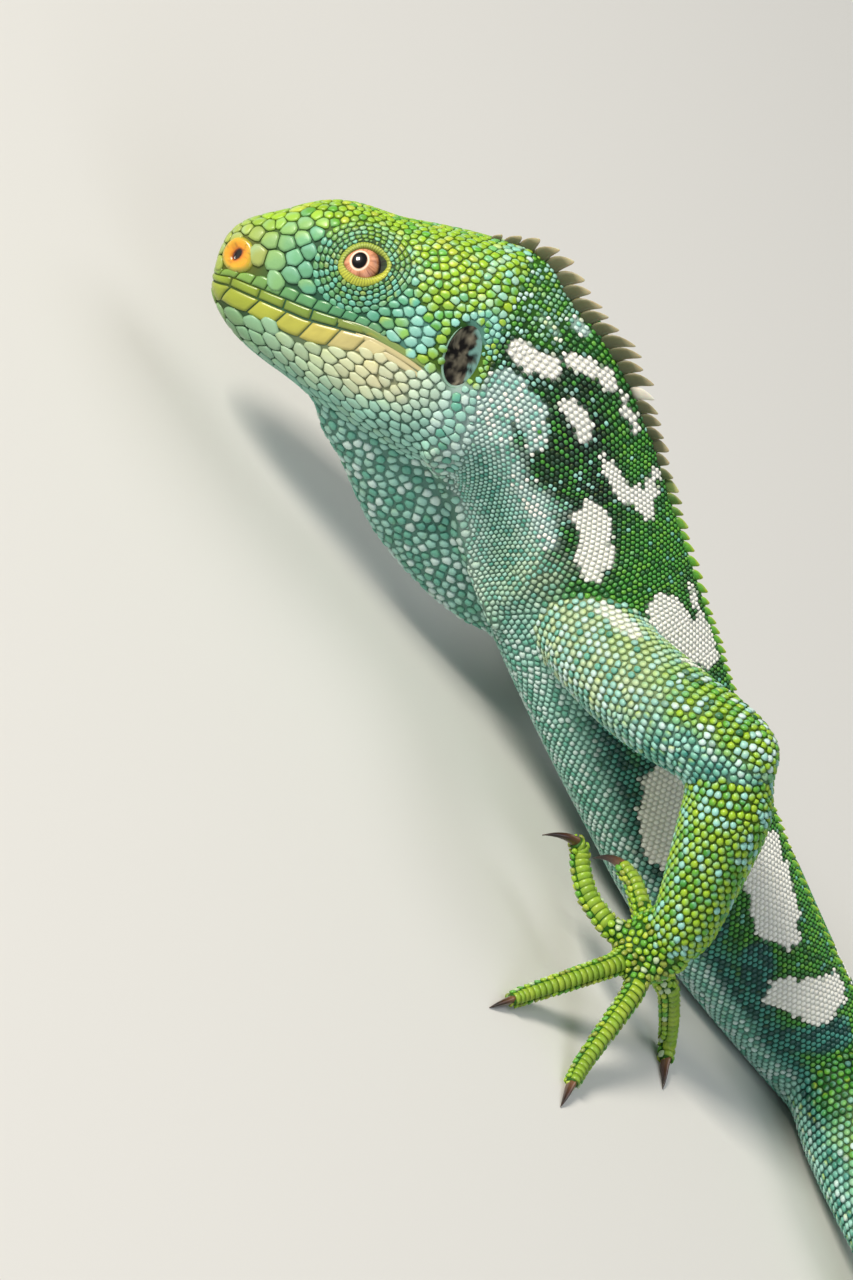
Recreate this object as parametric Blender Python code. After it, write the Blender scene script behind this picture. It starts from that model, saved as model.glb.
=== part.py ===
"""A Fiji crested iguana (Brachylophus vitiensis) as a still, life-size model.

The animal lies on its belly with the chest raised on its forelegs, the head turned a little to its left
and pitched down to the front. +X runs from the head to the tail, -Y is the animal's left side, +Z is up
and Z = 0 is the floor. Lengths below are millimetres; the meshes are in metres.
"""

import math

import bmesh
import bpy
import numpy as np
from mathutils import Matrix, Vector

MM = 0.001
GAP = 0.3  # clearance left between neighbouring pieces

# The head: its own frame starts at the tip of the snout, X back, Y to the right, Z up.
SNOUT = (-85.9, -6.5, 18.5)
HEAD_TURN = (2.8, -33.2, -15.3)  # yaw, pitch and roll in degrees
HEAD_REAR = 56.0
HEAD_SIDES = 22
# distance back, lowest point, highest point, half width, height of the widest point
HEAD_SECTIONS = (
    (0.0, -1.3, 7.4, 2.8, 2.5),
    (0.6, -2.8, 9.8, 4.2, 2.2),
    (2.6, -5.2, 12.4, 5.6, 1.8),
    (5.5, -7.8, 14.4, 6.9, 1.2),
    (9.0, -9.8, 16.6, 8.0, 0.8),
    (12.5, -11.2, 19.2, 9.0, 0.6),
    (16.5, -12.4, 21.5, 10.1, 0.6),
    (20.5, -13.5, 22.6, 11.1, 0.4),
    (25.0, -15.2, 22.9, 12.0, 0.0),
    (30.0, -17.0, 22.8, 12.9, -0.8),
    (36.0, -18.6, 23.8, 13.8, -1.5),
    (42.0, -19.5, 24.7, 14.5, -1.8),
    (49.0, -20.1, 25.6, 14.8, -1.0),
    (HEAD_REAR, -20.0, 26.8, 14.6, 0.5),
)
CROWN_POWER = 2.5
JAW_POWER = 2.2

# The mouth: a nearly straight line to its corner, and the rear edge of the lower jaw.
MOUTH_FRONT = -0.4
MOUTH_CORNER = (43.5, 0.2)
JAW_HINGE = (50.0, -12.0)
JAW_REAR_FOOT = (50.0, -26.0)

EYE = (26.6, 7.2, 12.3)
EYE_RADIUS = 4.9
EAR = (50.6, 15.2, 2.1)
EAR_SIZE = (3.6, 1.7, 6.0)
NOSTRIL = (3.6, 5.6, 5.6)
NOSTRIL_RADIUS = 1.0

# Neck, trunk and the root of the tail, as sections from front to back:
# x, y, z of the section's centre, pitch, roll, half width, reach up, reach down
BODY_SIDES = 24
RINGS_PER_SECTION = 2
BODY_SECTIONS = (
    (-26.0, -2.6, 49.0, -14.0, -7.0, 13.9, 24.4, 20.5),
    (-14.0, -1.0, 45.2, 2.0, -3.0, 13.8, 21.2, 21.5),
    (-3.0, 0.0, 41.3, 10.0, 0.0, 14.6, 20.0, 22.5),
    (8.0, 0.0, 37.2, 13.0, 0.0, 15.6, 20.1, 22.3),
    (22.0, 0.0, 32.6, 15.0, 0.0, 16.6, 19.6, 21.5),
    (38.0, 0.0, 27.6, 16.0, 0.0, 17.8, 18.9, 20.2),
    (56.0, 0.0, 22.4, 16.0, 0.0, 18.8, 17.9, 18.6),
    (75.0, 0.0, 18.2, 13.0, 0.0, 18.8, 16.3, 18.0),
    (93.0, 0.0, 15.4, 10.0, 0.0, 17.2, 14.3, 15.9),
    (110.0, 0.0, 13.2, 8.0, 0.0, 14.8, 12.6, 13.7),
    (125.0, 0.0, 11.6, 6.0, 0.0, 12.4, 11.9, 12.0),
    (140.0, 0.0, 10.2, 0.0, 0.0, 10.4, 10.4, 10.6),
)
NECK_END = 3  # index of the section where the neck meets the trunk
TRUNK_MIDDLE = 7
BACK_POWER = 1.75
BELLY_POWER = 2.3
SINK = 0.4  # how far the resting pieces are modelled below the floor before it cuts them flat

# The throat pouch: x, y, lowest point, half width
POUCH_SECTIONS = (
    (-57.0, -9.6, 20.5, 5.0),
    (-50.0, -8.8, 16.6, 6.8),
    (-43.0, -7.0, 15.2, 8.0),
    (-36.0, -5.0, 12.0, 8.6),
    (-27.0, -3.4, 8.8, 8.6),
    (-17.0, -1.8, 7.6, 8.2),
    (-7.0, -0.6, 8.0, 7.6),
    (1.0, 0.0, 9.8, 6.6),
    (6.0, 0.0, 12.8, 5.2),
    (8.2, 0.0, 16.4, 3.4),
)
POUCH_TOP = 36.0
POUCH_WIDEST = 26.0
POUCH_POWER = 1.7

# The tail winds in a gentle double curve over the floor.
TAIL_START = (140.0, 0.0)
TAIL_LENGTH = 442.0
TAIL_SWING = 15.0  # degrees to either side
TAIL_RINGS = 30
TAIL_SIDES = 10
TAIL_ROOT_RADIUS = 10.4
TAIL_TIP_RADIUS = 0.9
TAIL_FIRST_BEND = 0.4  # how strong the first bend is beside the second
TAIL_TAPER = 1.25
TAIL_FLATNESS = 0.94  # width over height
TAIL_ENDS = (0.0, 0.16, 0.33, 0.52, 0.74, 1.0)

# Crest spines along the ridge of the back, from the nape: their height at a few distances, in millimetres.
SPINE_SPACING = 3.0
SPINE_HEIGHTS = ((0.0, 2.6), (8.0, 4.0), (36.0, 3.8), (56.0, 2.8), (76.0, 1.9), (110.0, 1.2))
SPINE_BASE = 2.6
SPINE_HALF_THICKNESS = 0.7
SPINE_LEAN = 0.35
SPINE_ROOT = 1.0

LIMB_SIDES = 10
DIGIT_SIDES = 7
CLAW_SIDES = 5
CLAW_STEPS = 3
DIGIT_RINGS = 6
ROUND_END_ANGLES = (0.75, 1.3)  # radians towards the pole of a rounded end

# Each limb piece: x, y, z and radius at the points along it. The left foreleg is bent up at the elbow.
LEFT_FORELEG = {
    "upper": (
        (9, -7, 33, 9.0),
        (16, -16, 36.5, 10.0),
        (26, -26, 43, 10.4),
        (35, -32, 49, 9.8),
        (42.4, -34.5, 53.2, 8.9),
    ),
    "lower": (
        (42.4, -34.5, 53.2, 6.8),
        (50, -37, 46.5, 8.8),
        (55.5, -38.5, 39, 8.2),
        (61, -40, 31, 7.2),
        (65.4, -41, 24.5, 6.4),
    ),
    "palm": ((65.4, -41, 24.0, 5.4), (65.6, -40.5, 18.6, 7.2), (65.8, -41, 13.8, 6.0)),
}
RIGHT_FORELEG = {
    "upper": ((9, 6, 32, 9.0), (17, 15, 31, 9.8), (26, 23, 28.5, 9.4), (34, 29, 25.5, 8.4)),
    "lower": ((34, 29, 25.5, 6.8), (30, 34.5, 20.5, 8.4), (24.5, 39.5, 14.5, 7.0), (19, 43.5, 8.6, 5.8)),
    "palm": ((19.0, 43.5, 8.2, 4.8), (13.5, 46.5, 4.4, 6.6), (8.0, 49, 3.2, 5.6)),
}
LEFT_HINDLEG = {
    "upper": ((123, -6, 12.5, 10.0), (132, -15, 13, 11.2), (142, -26, 13.5, 10.2), (151, -35, 13.2, 8.4)),
    "lower": ((151, -35, 13.2, 6.8), (158, -43, 11.6, 8.2), (165, -52, 9.0, 6.8), (171, -60, 6.6, 5.4)),
    "palm": ((171, -60, 6.4, 4.4), (174.5, -67, 4.1, 6.0), (177, -74, 3.1, 5.4)),
}
RIGHT_HINDLEG = {
    "upper": ((123, 6, 12.5, 10.0), (130, 16, 13.5, 11.2), (136, 27, 14.5, 10.2), (139, 38, 14.6, 8.4)),
    "lower": ((139, 38, 14.6, 6.8), (148, 43, 13.0, 8.2), (157, 48, 9.8, 6.8), (166, 53, 6.6, 5.4)),
    "palm": ((166, 53, 6.4, 4.4), (161.5, 59, 4.2, 6.2), (157, 65, 3.2, 5.6)),
}
PALM_FLATNESS = 0.62


def digit(path, start, end, droop):
    """A finger or toe: its path, its radius at either end and the droop of its claw."""
    return {"path": path, "start": start, "end": end, "droop": droop}


# Digits, from the first to the fifth: the points from the knuckle to the base of the claw, the radius at
# either end, and the claw's droop in degrees.
LEFT_HAND = (
    digit(
        ((64, -38, 16), (60.6, -33.2, 16.4), (56.6, -27.6, 16.2), (53.6, -23.8, 14.6)),
        start=2.5, end=1.9, droop=40,
    ),
    digit(
        ((63, -41, 14.5), (57, -41.6, 12.6), (50.4, -38.2, 11.6), (45.4, -34.6, 12.8),
         (43.2, -33.2, 14.6), (40.8, -34.4, 15.2)),
        start=2.6, end=1.9, droop=45,
    ),
    digit(
        ((64, -42, 14), (61.4, -49.5, 12), (55.3, -60, 6.6), (51.3, -66.5, 2.4), (48.9, -71.2, 1.2)),
        start=2.6, end=1.7, droop=20,
    ),
    digit(
        ((66.5, -42, 14), (68, -49.5, 12.2), (68.6, -59.6, 6.6), (68.7, -68.3, 2.4), (68.8, -74.1, 1.2)),
        start=2.6, end=1.7, droop=20,
    ),
    digit(
        ((69, -40, 14), (76, -37.6, 12.2), (83.2, -34.6, 6.2), (87.2, -33.6, 2.4), (88.9, -37.4, 1.3)),
        start=2.6, end=1.8, droop=20,
    ),
)
RIGHT_HAND = (
    digit(
        ((15, 44, 4.6), (8.5, 40.5, 3), (3, 37.5, 1.4)),
        start=2.4, end=1.7, droop=25,
    ),
    digit(
        ((11, 46, 4.2), (2, 44.8, 3.4), (-8, 44, 1.3)),
        start=2.5, end=1.7, droop=25,
    ),
    digit(
        ((9, 48, 4.2), (-1, 51, 3.6), (-14, 54.5, 1.3)),
        start=2.6, end=1.7, droop=25,
    ),
    digit(
        ((9, 50, 4.2), (0, 56.5, 3.6), (-12, 65, 1.3)),
        start=2.6, end=1.7, droop=25,
    ),
    digit(
        ((12, 50.5, 4.2), (6.5, 58.5, 3.2), (2, 67.5, 1.4)),
        start=2.4, end=1.7, droop=25,
    ),
)
LEFT_FOOT = (
    digit(
        ((174, -64, 4.2), (182, -68.5, 3), (188, -73, 1.4)),
        start=2.5, end=1.8, droop=25,
    ),
    digit(
        ((177, -70, 4), (187, -79, 3.2), (195, -87, 1.4)),
        start=2.6, end=1.8, droop=25,
    ),
    digit(
        ((177.5, -73, 4), (186.5, -87, 3.4), (194, -102, 1.4)),
        start=2.7, end=1.8, droop=25,
    ),
    digit(
        ((177, -74, 4), (182, -91, 3.6), (184.5, -109, 1.4)),
        start=2.8, end=1.8, droop=25,
    ),
    digit(
        ((174, -71, 4), (169.5, -82.5, 3.2), (168.5, -95, 1.4)),
        start=2.6, end=1.8, droop=25,
    ),
)
RIGHT_FOOT = (
    digit(
        ((160, 60, 4.4), (154, 56, 3), (149, 54.5, 1.4)),
        start=2.5, end=1.8, droop=25,
    ),
    digit(
        ((158, 62, 4), (148, 64.5, 3.2), (139, 68, 1.4)),
        start=2.6, end=1.8, droop=25,
    ),
    digit(
        ((157, 64, 4), (147, 71.5, 3.4), (136, 80, 1.4)),
        start=2.7, end=1.8, droop=25,
    ),
    digit(
        ((157, 65.5, 4), (149, 78.5, 3.6), (140, 93.5, 1.4)),
        start=2.8, end=1.8, droop=25,
    ),
    digit(
        ((160, 65, 4), (160, 76, 3.2), (158.5, 88, 1.4)),
        start=2.6, end=1.8, droop=25,
    ),
)
CLAW_LENGTH = 7.0
CLAW_RADIUS = 1.3
CLAW_TIP_RADIUS = 0.28
CLAW_CLEARANCE = 0.05  # lowest that a claw comes over the floor

SKIN_GREEN = (0.13, 0.33, 0.05)
SKIN_TEAL = (0.16, 0.40, 0.31)
LIP_YELLOW = (0.42, 0.48, 0.10)
IRIS_ORANGE = (0.62, 0.25, 0.13)
CLAW_BROWN = (0.12, 0.06, 0.04)


# ---------------------------------------------------------------- building blocks


def material(name, colour, roughness):
    """The Principled material of this name, made at its first use."""
    found = bpy.data.materials.get(name)
    if found:
        return found
    made = bpy.data.materials.new(name)
    made.use_nodes = True
    shader = made.node_tree.nodes["Principled BSDF"]
    shader.inputs["Base Color"].default_value = (*colour, 1.0)
    shader.inputs["Roughness"].default_value = roughness
    shader.inputs["Metallic"].default_value = 0.0
    made.diffuse_color = (*colour, 1.0)
    return made


def solid(name, points, faces, animal, look=None):
    """A mesh object from points in millimetres, with its faces turned outwards."""
    mesh = bpy.data.meshes.new(name)
    mesh.from_pydata([Vector(p) * MM for p in points], [], faces)
    cleaned = bmesh.new()
    cleaned.from_mesh(mesh)
    bmesh.ops.recalc_face_normals(cleaned, faces=cleaned.faces)
    bmesh.ops.triangulate(cleaned, faces=[f for f in cleaned.faces if len(f.verts) > 4])
    cleaned.to_mesh(mesh)
    cleaned.free()
    mesh.shade_smooth()
    if look:
        mesh.materials.append(look)
    made = bpy.data.objects.new(name, mesh)
    made.parent = animal
    bpy.context.scene.collection.objects.link(made)
    return made


def as_helper(thing):
    """Marks an object that only cuts or joins others."""
    thing.hide_render = True
    thing.display_type = "WIRE"
    return thing


def boolean(target, tool, operation):
    modifier = target.modifiers.new(f"{operation.title()} {tool.name}", "BOOLEAN")
    modifier.operation = operation
    modifier.solver = "EXACT"
    modifier.object = as_helper(tool)


def smooth_rows(rows, per_gap):
    """A Catmull-Rom curve through the rows of a table, with per_gap steps between two rows."""
    table = np.array(rows, float)
    padded = np.vstack([2 * table[0] - table[1], table, 2 * table[-1] - table[-2]])
    made = []
    for index in range(len(table) - 1):
        p0, p1, p2, p3 = padded[index : index + 4]
        for step in range(per_gap):
            t = step / per_gap
            square = (2 * p0 - 5 * p1 + 4 * p2 - p3) * t**2
            cube = (3 * p1 - p0 - 3 * p2 + p3) * t**3
            made.append(0.5 * (2 * p1 + (p2 - p0) * t + square + cube))
    made.append(table[-1])
    return np.array(made)


def turned(yaw, pitch, roll):
    """The rotation whose columns point back, right and up."""
    made = Matrix.Identity(3)
    for angle, axis in ((yaw, "Z"), (pitch, "Y"), (roll, "X")):
        made = made @ Matrix.Rotation(math.radians(angle), 3, axis)
    return made


def oval(sides, half_width, up, down, up_power, down_power):
    """A closed section as (y, z) pairs: a superellipse above and another below."""
    made = []
    for index in range(sides):
        angle = 2 * math.pi * index / sides
        cosine, sine = math.cos(angle), math.sin(angle)
        reach, power = (up, up_power) if sine >= 0 else (down, down_power)
        across = math.copysign(abs(cosine) ** (2 / power), cosine)
        height = math.copysign(abs(sine) ** (2 / power), sine)
        made.append((half_width * across, reach * height))
    return made


def skinned(name, rings, animal, look=None):
    """A closed solid over a row of rings, with a flat face at each end."""
    sides = len(rings[0])
    points = [p for ring in rings for p in ring]
    faces = [tuple(range(sides)), tuple(range(len(points) - sides, len(points)))]
    for row in range(len(rings) - 1):
        for side in range(sides):
            after = (side + 1) % sides
            start = row * sides
            faces.append((start + side, start + after, start + sides + after, start + sides + side))
    return solid(name, points, faces, animal, look)


def tube_rings(points, sides, flatness=1.0, grow=0.0, round_start=False, round_end=False):
    """Rings round a row of (x, y, z, radius) points, square to the row and without twist."""
    row = [np.array(p, float) for p in points]
    row = [np.array((*p[:3], p[3] + grow)) for p in row]
    ends = []
    if round_start:
        ends.append((0, row[0][:3] - row[1][:3]))
    if round_end:
        ends.append((-1, row[-1][:3] - row[-2][:3]))
    for where, outward in ends:
        outward = outward / np.linalg.norm(outward)
        centre, radius = row[where][:3], row[where][3]
        caps = []
        for angle in ROUND_END_ANGLES:
            place = centre + outward * radius * math.sin(angle)
            caps.append(np.array((*place, radius * math.cos(angle))))
        row = caps[::-1] + row if where == 0 else row + caps
    centres = np.array([p[:3] for p in row])
    tangents = np.gradient(centres, axis=0)
    tangents /= np.linalg.norm(tangents, axis=1)[:, None]
    up = np.array((0.0, 0.0, 1.0))
    rings = []
    for centre, tangent, point in zip(centres, tangents, row):
        up = up - tangent * (up @ tangent)
        up = up / np.linalg.norm(up)
        side = np.cross(tangent, up)
        radius = point[3]
        ring = []
        for index in range(sides):
            angle = 2 * math.pi * index / sides
            ring.append(centre + side * radius * math.cos(angle) + up * radius * flatness * math.sin(angle))
        rings.append(ring)
    return rings


# ---------------------------------------------------------------- head


def head_point(back, right, up):
    """A point of the head's own frame, in the animal's."""
    return Vector(SNOUT) + turned(*HEAD_TURN) @ Vector((back, right, up))


def head_rings(grow=0.0):
    rings = []
    for back, low, high, half_width, widest in HEAD_SECTIONS:
        if back == 0.0:
            back -= grow
        up, down = high - widest + grow, widest - low + grow
        section = oval(HEAD_SIDES, half_width + grow, up, down, CROWN_POWER, JAW_POWER)
        rings.append([head_point(back, y, widest + z) for y, z in section])
    return rings


def head_prism(name, outline, animal):
    """A slab across the head: an outline of (back, up) pairs pulled out to both sides."""
    reach = 30.0
    points = [head_point(back, side * reach, up) for side in (-1, 1) for back, up in outline]
    count = len(outline)
    faces = [tuple(range(count)), tuple(range(count, 2 * count))]
    faces += [(i, (i + 1) % count, count + (i + 1) % count, count + i) for i in range(count)]
    return solid(name, points, faces, animal)


def jaw_outline(inset):
    """The lower jaw seen from the side: under the mouth line and in front of the jaw's hinge."""
    corner_back, corner_up = MOUTH_CORNER
    hinge_back, hinge_up = JAW_HINGE
    foot_back, foot_up = JAW_REAR_FOOT
    return (
        (-5.0, MOUTH_FRONT - inset),
        (corner_back - inset, corner_up - inset),
        (hinge_back - inset, hinge_up - inset),
        (foot_back - inset, foot_up),
        (-5.0, foot_up),
    )


def ball(name, centre, sizes, animal, look=None, segments=12, rings=8):
    """An ellipsoid in the head's frame: its centre, and its half sizes back, right and up."""
    made = bmesh.new()
    bmesh.ops.create_uvsphere(made, u_segments=segments, v_segments=rings, radius=1.0)
    spin = turned(*HEAD_TURN)
    points = [head_point(*centre) + spin @ Vector(v.co[i] * sizes[i] for i in range(3)) for v in made.verts]
    faces = [tuple(v.index for v in f.verts) for f in made.faces]
    made.free()
    return solid(name, points, faces, animal, look)


def build_head(animal):
    green = material("iguana_skin_green", SKIN_GREEN, 0.5)
    yellow = material("iguana_lip_yellow", LIP_YELLOW, 0.5)
    iris = material("iguana_iris", IRIS_ORANGE, 0.15)
    head = skinned("head", head_rings(), animal, green)
    jaw = skinned("lower_jaw", head_rings(), animal, yellow)
    boolean(head, head_prism("jaw_room", jaw_outline(0.0), animal), "DIFFERENCE")
    boolean(jaw, head_prism("jaw_block", jaw_outline(GAP), animal), "INTERSECT")
    for side, word in ((-1, "left"), (1, "right")):
        eye = (EYE[0], side * EYE[1], EYE[2])
        socket = EYE_RADIUS + GAP
        boolean(head, ball(f"eye_socket_{word}", eye, (socket,) * 3, animal), "DIFFERENCE")
        ball(f"eye_{word}", eye, (EYE_RADIUS,) * 3, animal, iris)
        hollow = (EAR[0], side * EAR[1], EAR[2])
        boolean(head, ball(f"ear_hollow_{word}", hollow, EAR_SIZE, animal, rings=6), "DIFFERENCE")
        hole = (NOSTRIL[0], side * NOSTRIL[1], NOSTRIL[2])
        nostril = ball(f"nostril_hole_{word}", hole, (NOSTRIL_RADIUS,) * 3, animal, segments=8, rings=6)
        boolean(head, nostril, "DIFFERENCE")


# ---------------------------------------------------------------- neck, trunk, tail


def neck_root_row():
    """The neck's first section, which lies flat against the back of the head."""
    back, low, high, half_width, widest = HEAD_SECTIONS[-1]
    centre = head_point(back + GAP, 0.0, widest)
    yaw, pitch, roll = HEAD_TURN
    return (*centre, pitch, roll, half_width - 0.2, high - widest - 0.2, widest - low - 0.2, yaw)


def body_rows():
    rows = [neck_root_row()] + [(*section, 0.0) for section in BODY_SECTIONS]
    return smooth_rows(rows, RINGS_PER_SECTION)


def body_ring(row, grow=0.0, slide=0.0):
    """The ring of one row of the body's table; slide moves it back along the body."""
    x, y, z, pitch, roll, half_width, up, down, yaw = row
    frame = turned(yaw, pitch, roll)
    section = oval(BODY_SIDES, half_width + grow, up + grow, down + grow, BACK_POWER, BELLY_POWER)
    return [Vector((x, y, z)) + frame @ Vector((slide, across, height)) for across, height in section]


def body_piece(name, first, last, animal, look):
    """The body between two of its rows; all but the first piece start a gap further back."""
    rows = body_rows()[first : last + 1]
    rings = [body_ring(row, slide=GAP if first and index == 0 else 0.0) for index, row in enumerate(rows)]
    return skinned(name, rings, animal, look)


def tail_rows():
    """x, y, z, heading and radius along the tail, lying on the floor."""
    x, y = TAIL_START
    step = TAIL_LENGTH / TAIL_RINGS
    rows = []
    for index in range(TAIL_RINGS + 1):
        share = index / TAIL_RINGS
        heading = math.radians(TAIL_SWING) * math.sin(2 * math.pi * share) * (TAIL_FIRST_BEND + share)
        radius = TAIL_TIP_RADIUS + (TAIL_ROOT_RADIUS - TAIL_TIP_RADIUS) * (1 - share) ** TAIL_TAPER
        rows.append((x, y, radius - min(SINK, radius / 3), heading, radius))
        x += step * math.cos(heading)
        y += step * math.sin(heading)
    return rows


def tail_ring(row, slide=0.0, grow=0.0):
    x, y, z, heading, radius = row
    radius += grow
    ring = []
    for index in range(TAIL_SIDES):
        angle = 2 * math.pi * (index + 0.5) / TAIL_SIDES
        across, height = TAIL_FLATNESS * radius * math.cos(angle), radius * math.sin(angle)
        place = Matrix.Rotation(heading, 3, "Z") @ Vector((slide, across, height))
        ring.append(Vector((x, y, z)) + place)
    return ring


def crest(name, first, last, animal):
    """The crest spines over the body's rows first to last: slim four-sided points leaning back."""
    tops = np.array([body_ring(row)[BODY_SIDES // 4] for row in body_rows()])
    lengths = np.concatenate([[0.0], np.cumsum(np.linalg.norm(np.diff(tops, axis=0), axis=1))])
    distances, heights = zip(*SPINE_HEIGHTS)
    margin = SPINE_BASE / 2 + 3 * GAP
    side = np.array((0.0, 1.0, 0.0))
    points, faces = [], []
    for along in np.arange(lengths[0], distances[-1], SPINE_SPACING):
        if not lengths[first] + margin < along < lengths[last] - margin:
            continue
        root = np.array([np.interp(along, lengths, axis) for axis in tops.T])
        ahead = np.array([np.interp(along + 1.0, lengths, axis) for axis in tops.T]) - root
        ahead /= np.linalg.norm(ahead)
        up = np.cross(ahead, side) / np.linalg.norm(np.cross(ahead, side))
        height = float(np.interp(along, distances, heights))
        base = root - up * SPINE_ROOT
        start = len(points)
        points += [base - ahead * SPINE_BASE / 2, base - side * SPINE_HALF_THICKNESS]
        points += [base + ahead * SPINE_BASE / 2, base + side * SPINE_HALF_THICKNESS]
        points.append(root + up * height + ahead * SPINE_LEAN * height)
        faces.append((start, start + 3, start + 2, start + 1))
        faces += [(start + i, start + (i + 1) % 4, start + 4) for i in range(4)]
    return solid(name, points, faces, animal) if points else None


def build_body(animal):
    green = material("iguana_skin_green", SKIN_GREEN, 0.5)
    neck_end = (NECK_END + 1) * RINGS_PER_SECTION
    middle = (TRUNK_MIDDLE + 1) * RINGS_PER_SECTION
    last = len(BODY_SECTIONS) * RINGS_PER_SECTION
    spans = (("neck", 0, neck_end), ("trunk_front", neck_end, middle), ("trunk_rear", middle, last))
    floor = bpy.data.objects["floor_cutter"]
    for name, start, end in spans:
        piece = body_piece(name, start, end, animal, green)
        spines = crest(f"{name}_crest", start, end, animal)
        if spines:
            boolean(piece, spines, "UNION")
        boolean(piece, floor, "DIFFERENCE")
    rows = tail_rows()
    marks = [round(end * TAIL_RINGS) for end in TAIL_ENDS]
    for number, (start, end) in enumerate(zip(marks, marks[1:]), 1):
        rings = [tail_ring(rows[start], slide=GAP)] + [tail_ring(row) for row in rows[start + 1 : end + 1]]
        boolean(skinned(f"tail_{number}", rings, animal, green), floor, "DIFFERENCE")


def build_pouch(animal):
    """The thin, deep throat pouch that hangs from the jaw and the neck."""
    teal = material("iguana_skin_teal", SKIN_TEAL, 0.5)
    rings = []
    for x, y, low, half_width in POUCH_SECTIONS:
        up, down = POUCH_TOP - POUCH_WIDEST, POUCH_WIDEST - low
        section = oval(BODY_SIDES // 2, half_width, up, down, 2.0, POUCH_POWER)
        rings.append([Vector((x, y + across, POUCH_WIDEST + height)) for across, height in section])
    pouch = skinned("throat_pouch", rings, animal, teal)
    boolean(pouch, skinned("head_room", head_rings(GAP), animal), "DIFFERENCE")
    boolean(pouch, bpy.data.objects["body_room"], "DIFFERENCE")


# ---------------------------------------------------------------- legs


def limb_rings(points, grow, flatness=1.0):
    return tube_rings(
        smooth_rows(points, 2), LIMB_SIDES, flatness=flatness, grow=grow, round_start=True, round_end=True
    )


def claw(name, tip, direction, droop, animal):
    """A hooked claw: a cone bent down by its droop, its point kept above the floor."""
    heading = Vector(direction)
    heading.normalize()
    across = heading.cross(Vector((0.0, 0.0, 1.0)))
    across.normalize()
    place = Vector(tip) + heading * GAP
    points = []
    for index in range(CLAW_STEPS + 1):
        share = index / CLAW_STEPS
        radius = CLAW_RADIUS + (CLAW_TIP_RADIUS - CLAW_RADIUS) * share
        points.append((*place[:2], max(place.z, radius + CLAW_CLEARANCE), radius))
        bend = Matrix.Rotation(-math.radians(droop) / CLAW_STEPS, 3, across)
        place = place + heading * CLAW_LENGTH / CLAW_STEPS
        heading = bend @ heading
    brown = material("iguana_claw", CLAW_BROWN, 0.3)
    return skinned(name, tube_rings(points, CLAW_SIDES), animal, brown)


def build_leg(prefix, pieces, digits, hand, animal, look):
    """One leg: two bones' worth of flesh, the palm joined to its five digits, and the claws."""
    floor = bpy.data.objects["floor_cutter"]
    upper = skinned(f"{prefix}_upper", limb_rings(pieces["upper"], 0.0), animal, look)
    boolean(upper, bpy.data.objects["body_room"], "DIFFERENCE")
    boolean(upper, bpy.data.objects["tail_room"], "DIFFERENCE")
    upper_room = skinned(f"{prefix}_upper_room", limb_rings(pieces["upper"], GAP), animal)
    lower = skinned(f"{prefix}_lower", limb_rings(pieces["lower"], 0.0), animal, look)
    boolean(lower, upper_room, "DIFFERENCE")
    boolean(lower, bpy.data.objects["body_room"], "DIFFERENCE")
    lower_room = skinned(f"{prefix}_lower_room", limb_rings(pieces["lower"], GAP), animal)
    palm = skinned(hand, limb_rings(pieces["palm"], 0.0, PALM_FLATNESS), animal, look)
    for number, one in enumerate(digits, 1):
        radii = np.linspace(one["start"], one["end"], len(one["path"]))
        row = [(*point, radius) for point, radius in zip(one["path"], radii)]
        row = smooth_rows(row, max(1, DIGIT_RINGS // len(row)))
        finger = skinned(f"{hand}_digit_{number}", tube_rings(row, DIGIT_SIDES), animal)
        boolean(palm, finger, "UNION")
        claw(f"{hand}_claw_{number}", row[-1][:3], row[-1][:3] - row[-2][:3], one["droop"], animal)
    boolean(palm, lower_room, "DIFFERENCE")
    for piece in (upper, lower, palm):
        boolean(piece, floor, "DIFFERENCE")


def build_helpers(animal):
    """The floor, which cuts the resting pieces flat, and the body and tail root grown by the gap."""
    reach, depth = 900.0, 30.0
    square = ((-reach, -reach), (reach, -reach), (reach, reach), (-reach, reach))
    corners = [(x, y, z) for z in (-depth, 0.0) for x, y in square]
    faces = [(0, 1, 2, 3), (4, 5, 6, 7)]
    faces += [(i, (i + 1) % 4, 4 + (i + 1) % 4, 4 + i) for i in range(4)]
    as_helper(solid("floor_cutter", corners, faces, animal))
    rows = body_rows()
    as_helper(skinned("body_room", [body_ring(row, grow=GAP) for row in rows], animal))
    roots = tail_rows()[: round(TAIL_ENDS[1] * TAIL_RINGS) + 1]
    rings = [tail_ring(row, slide=0.0 if index else -GAP, grow=GAP) for index, row in enumerate(roots)]
    as_helper(skinned("tail_room", rings, animal))


def centre_over_origin(animal):
    """Moves the whole animal so that the middle of its box stands over the origin."""
    bpy.context.view_layer.update()
    graph = bpy.context.evaluated_depsgraph_get()
    corners = []
    for thing in bpy.data.objects:
        if thing.type == "MESH" and not thing.hide_render:
            mesh = thing.evaluated_get(graph).to_mesh()
            corners += [thing.matrix_world @ v.co for v in mesh.vertices]
    low = [min(c[axis] for c in corners) for axis in (0, 1)]
    high = [max(c[axis] for c in corners) for axis in (0, 1)]
    animal.location = (-(low[0] + high[0]) / 2, -(low[1] + high[1]) / 2, 0.0)


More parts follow.
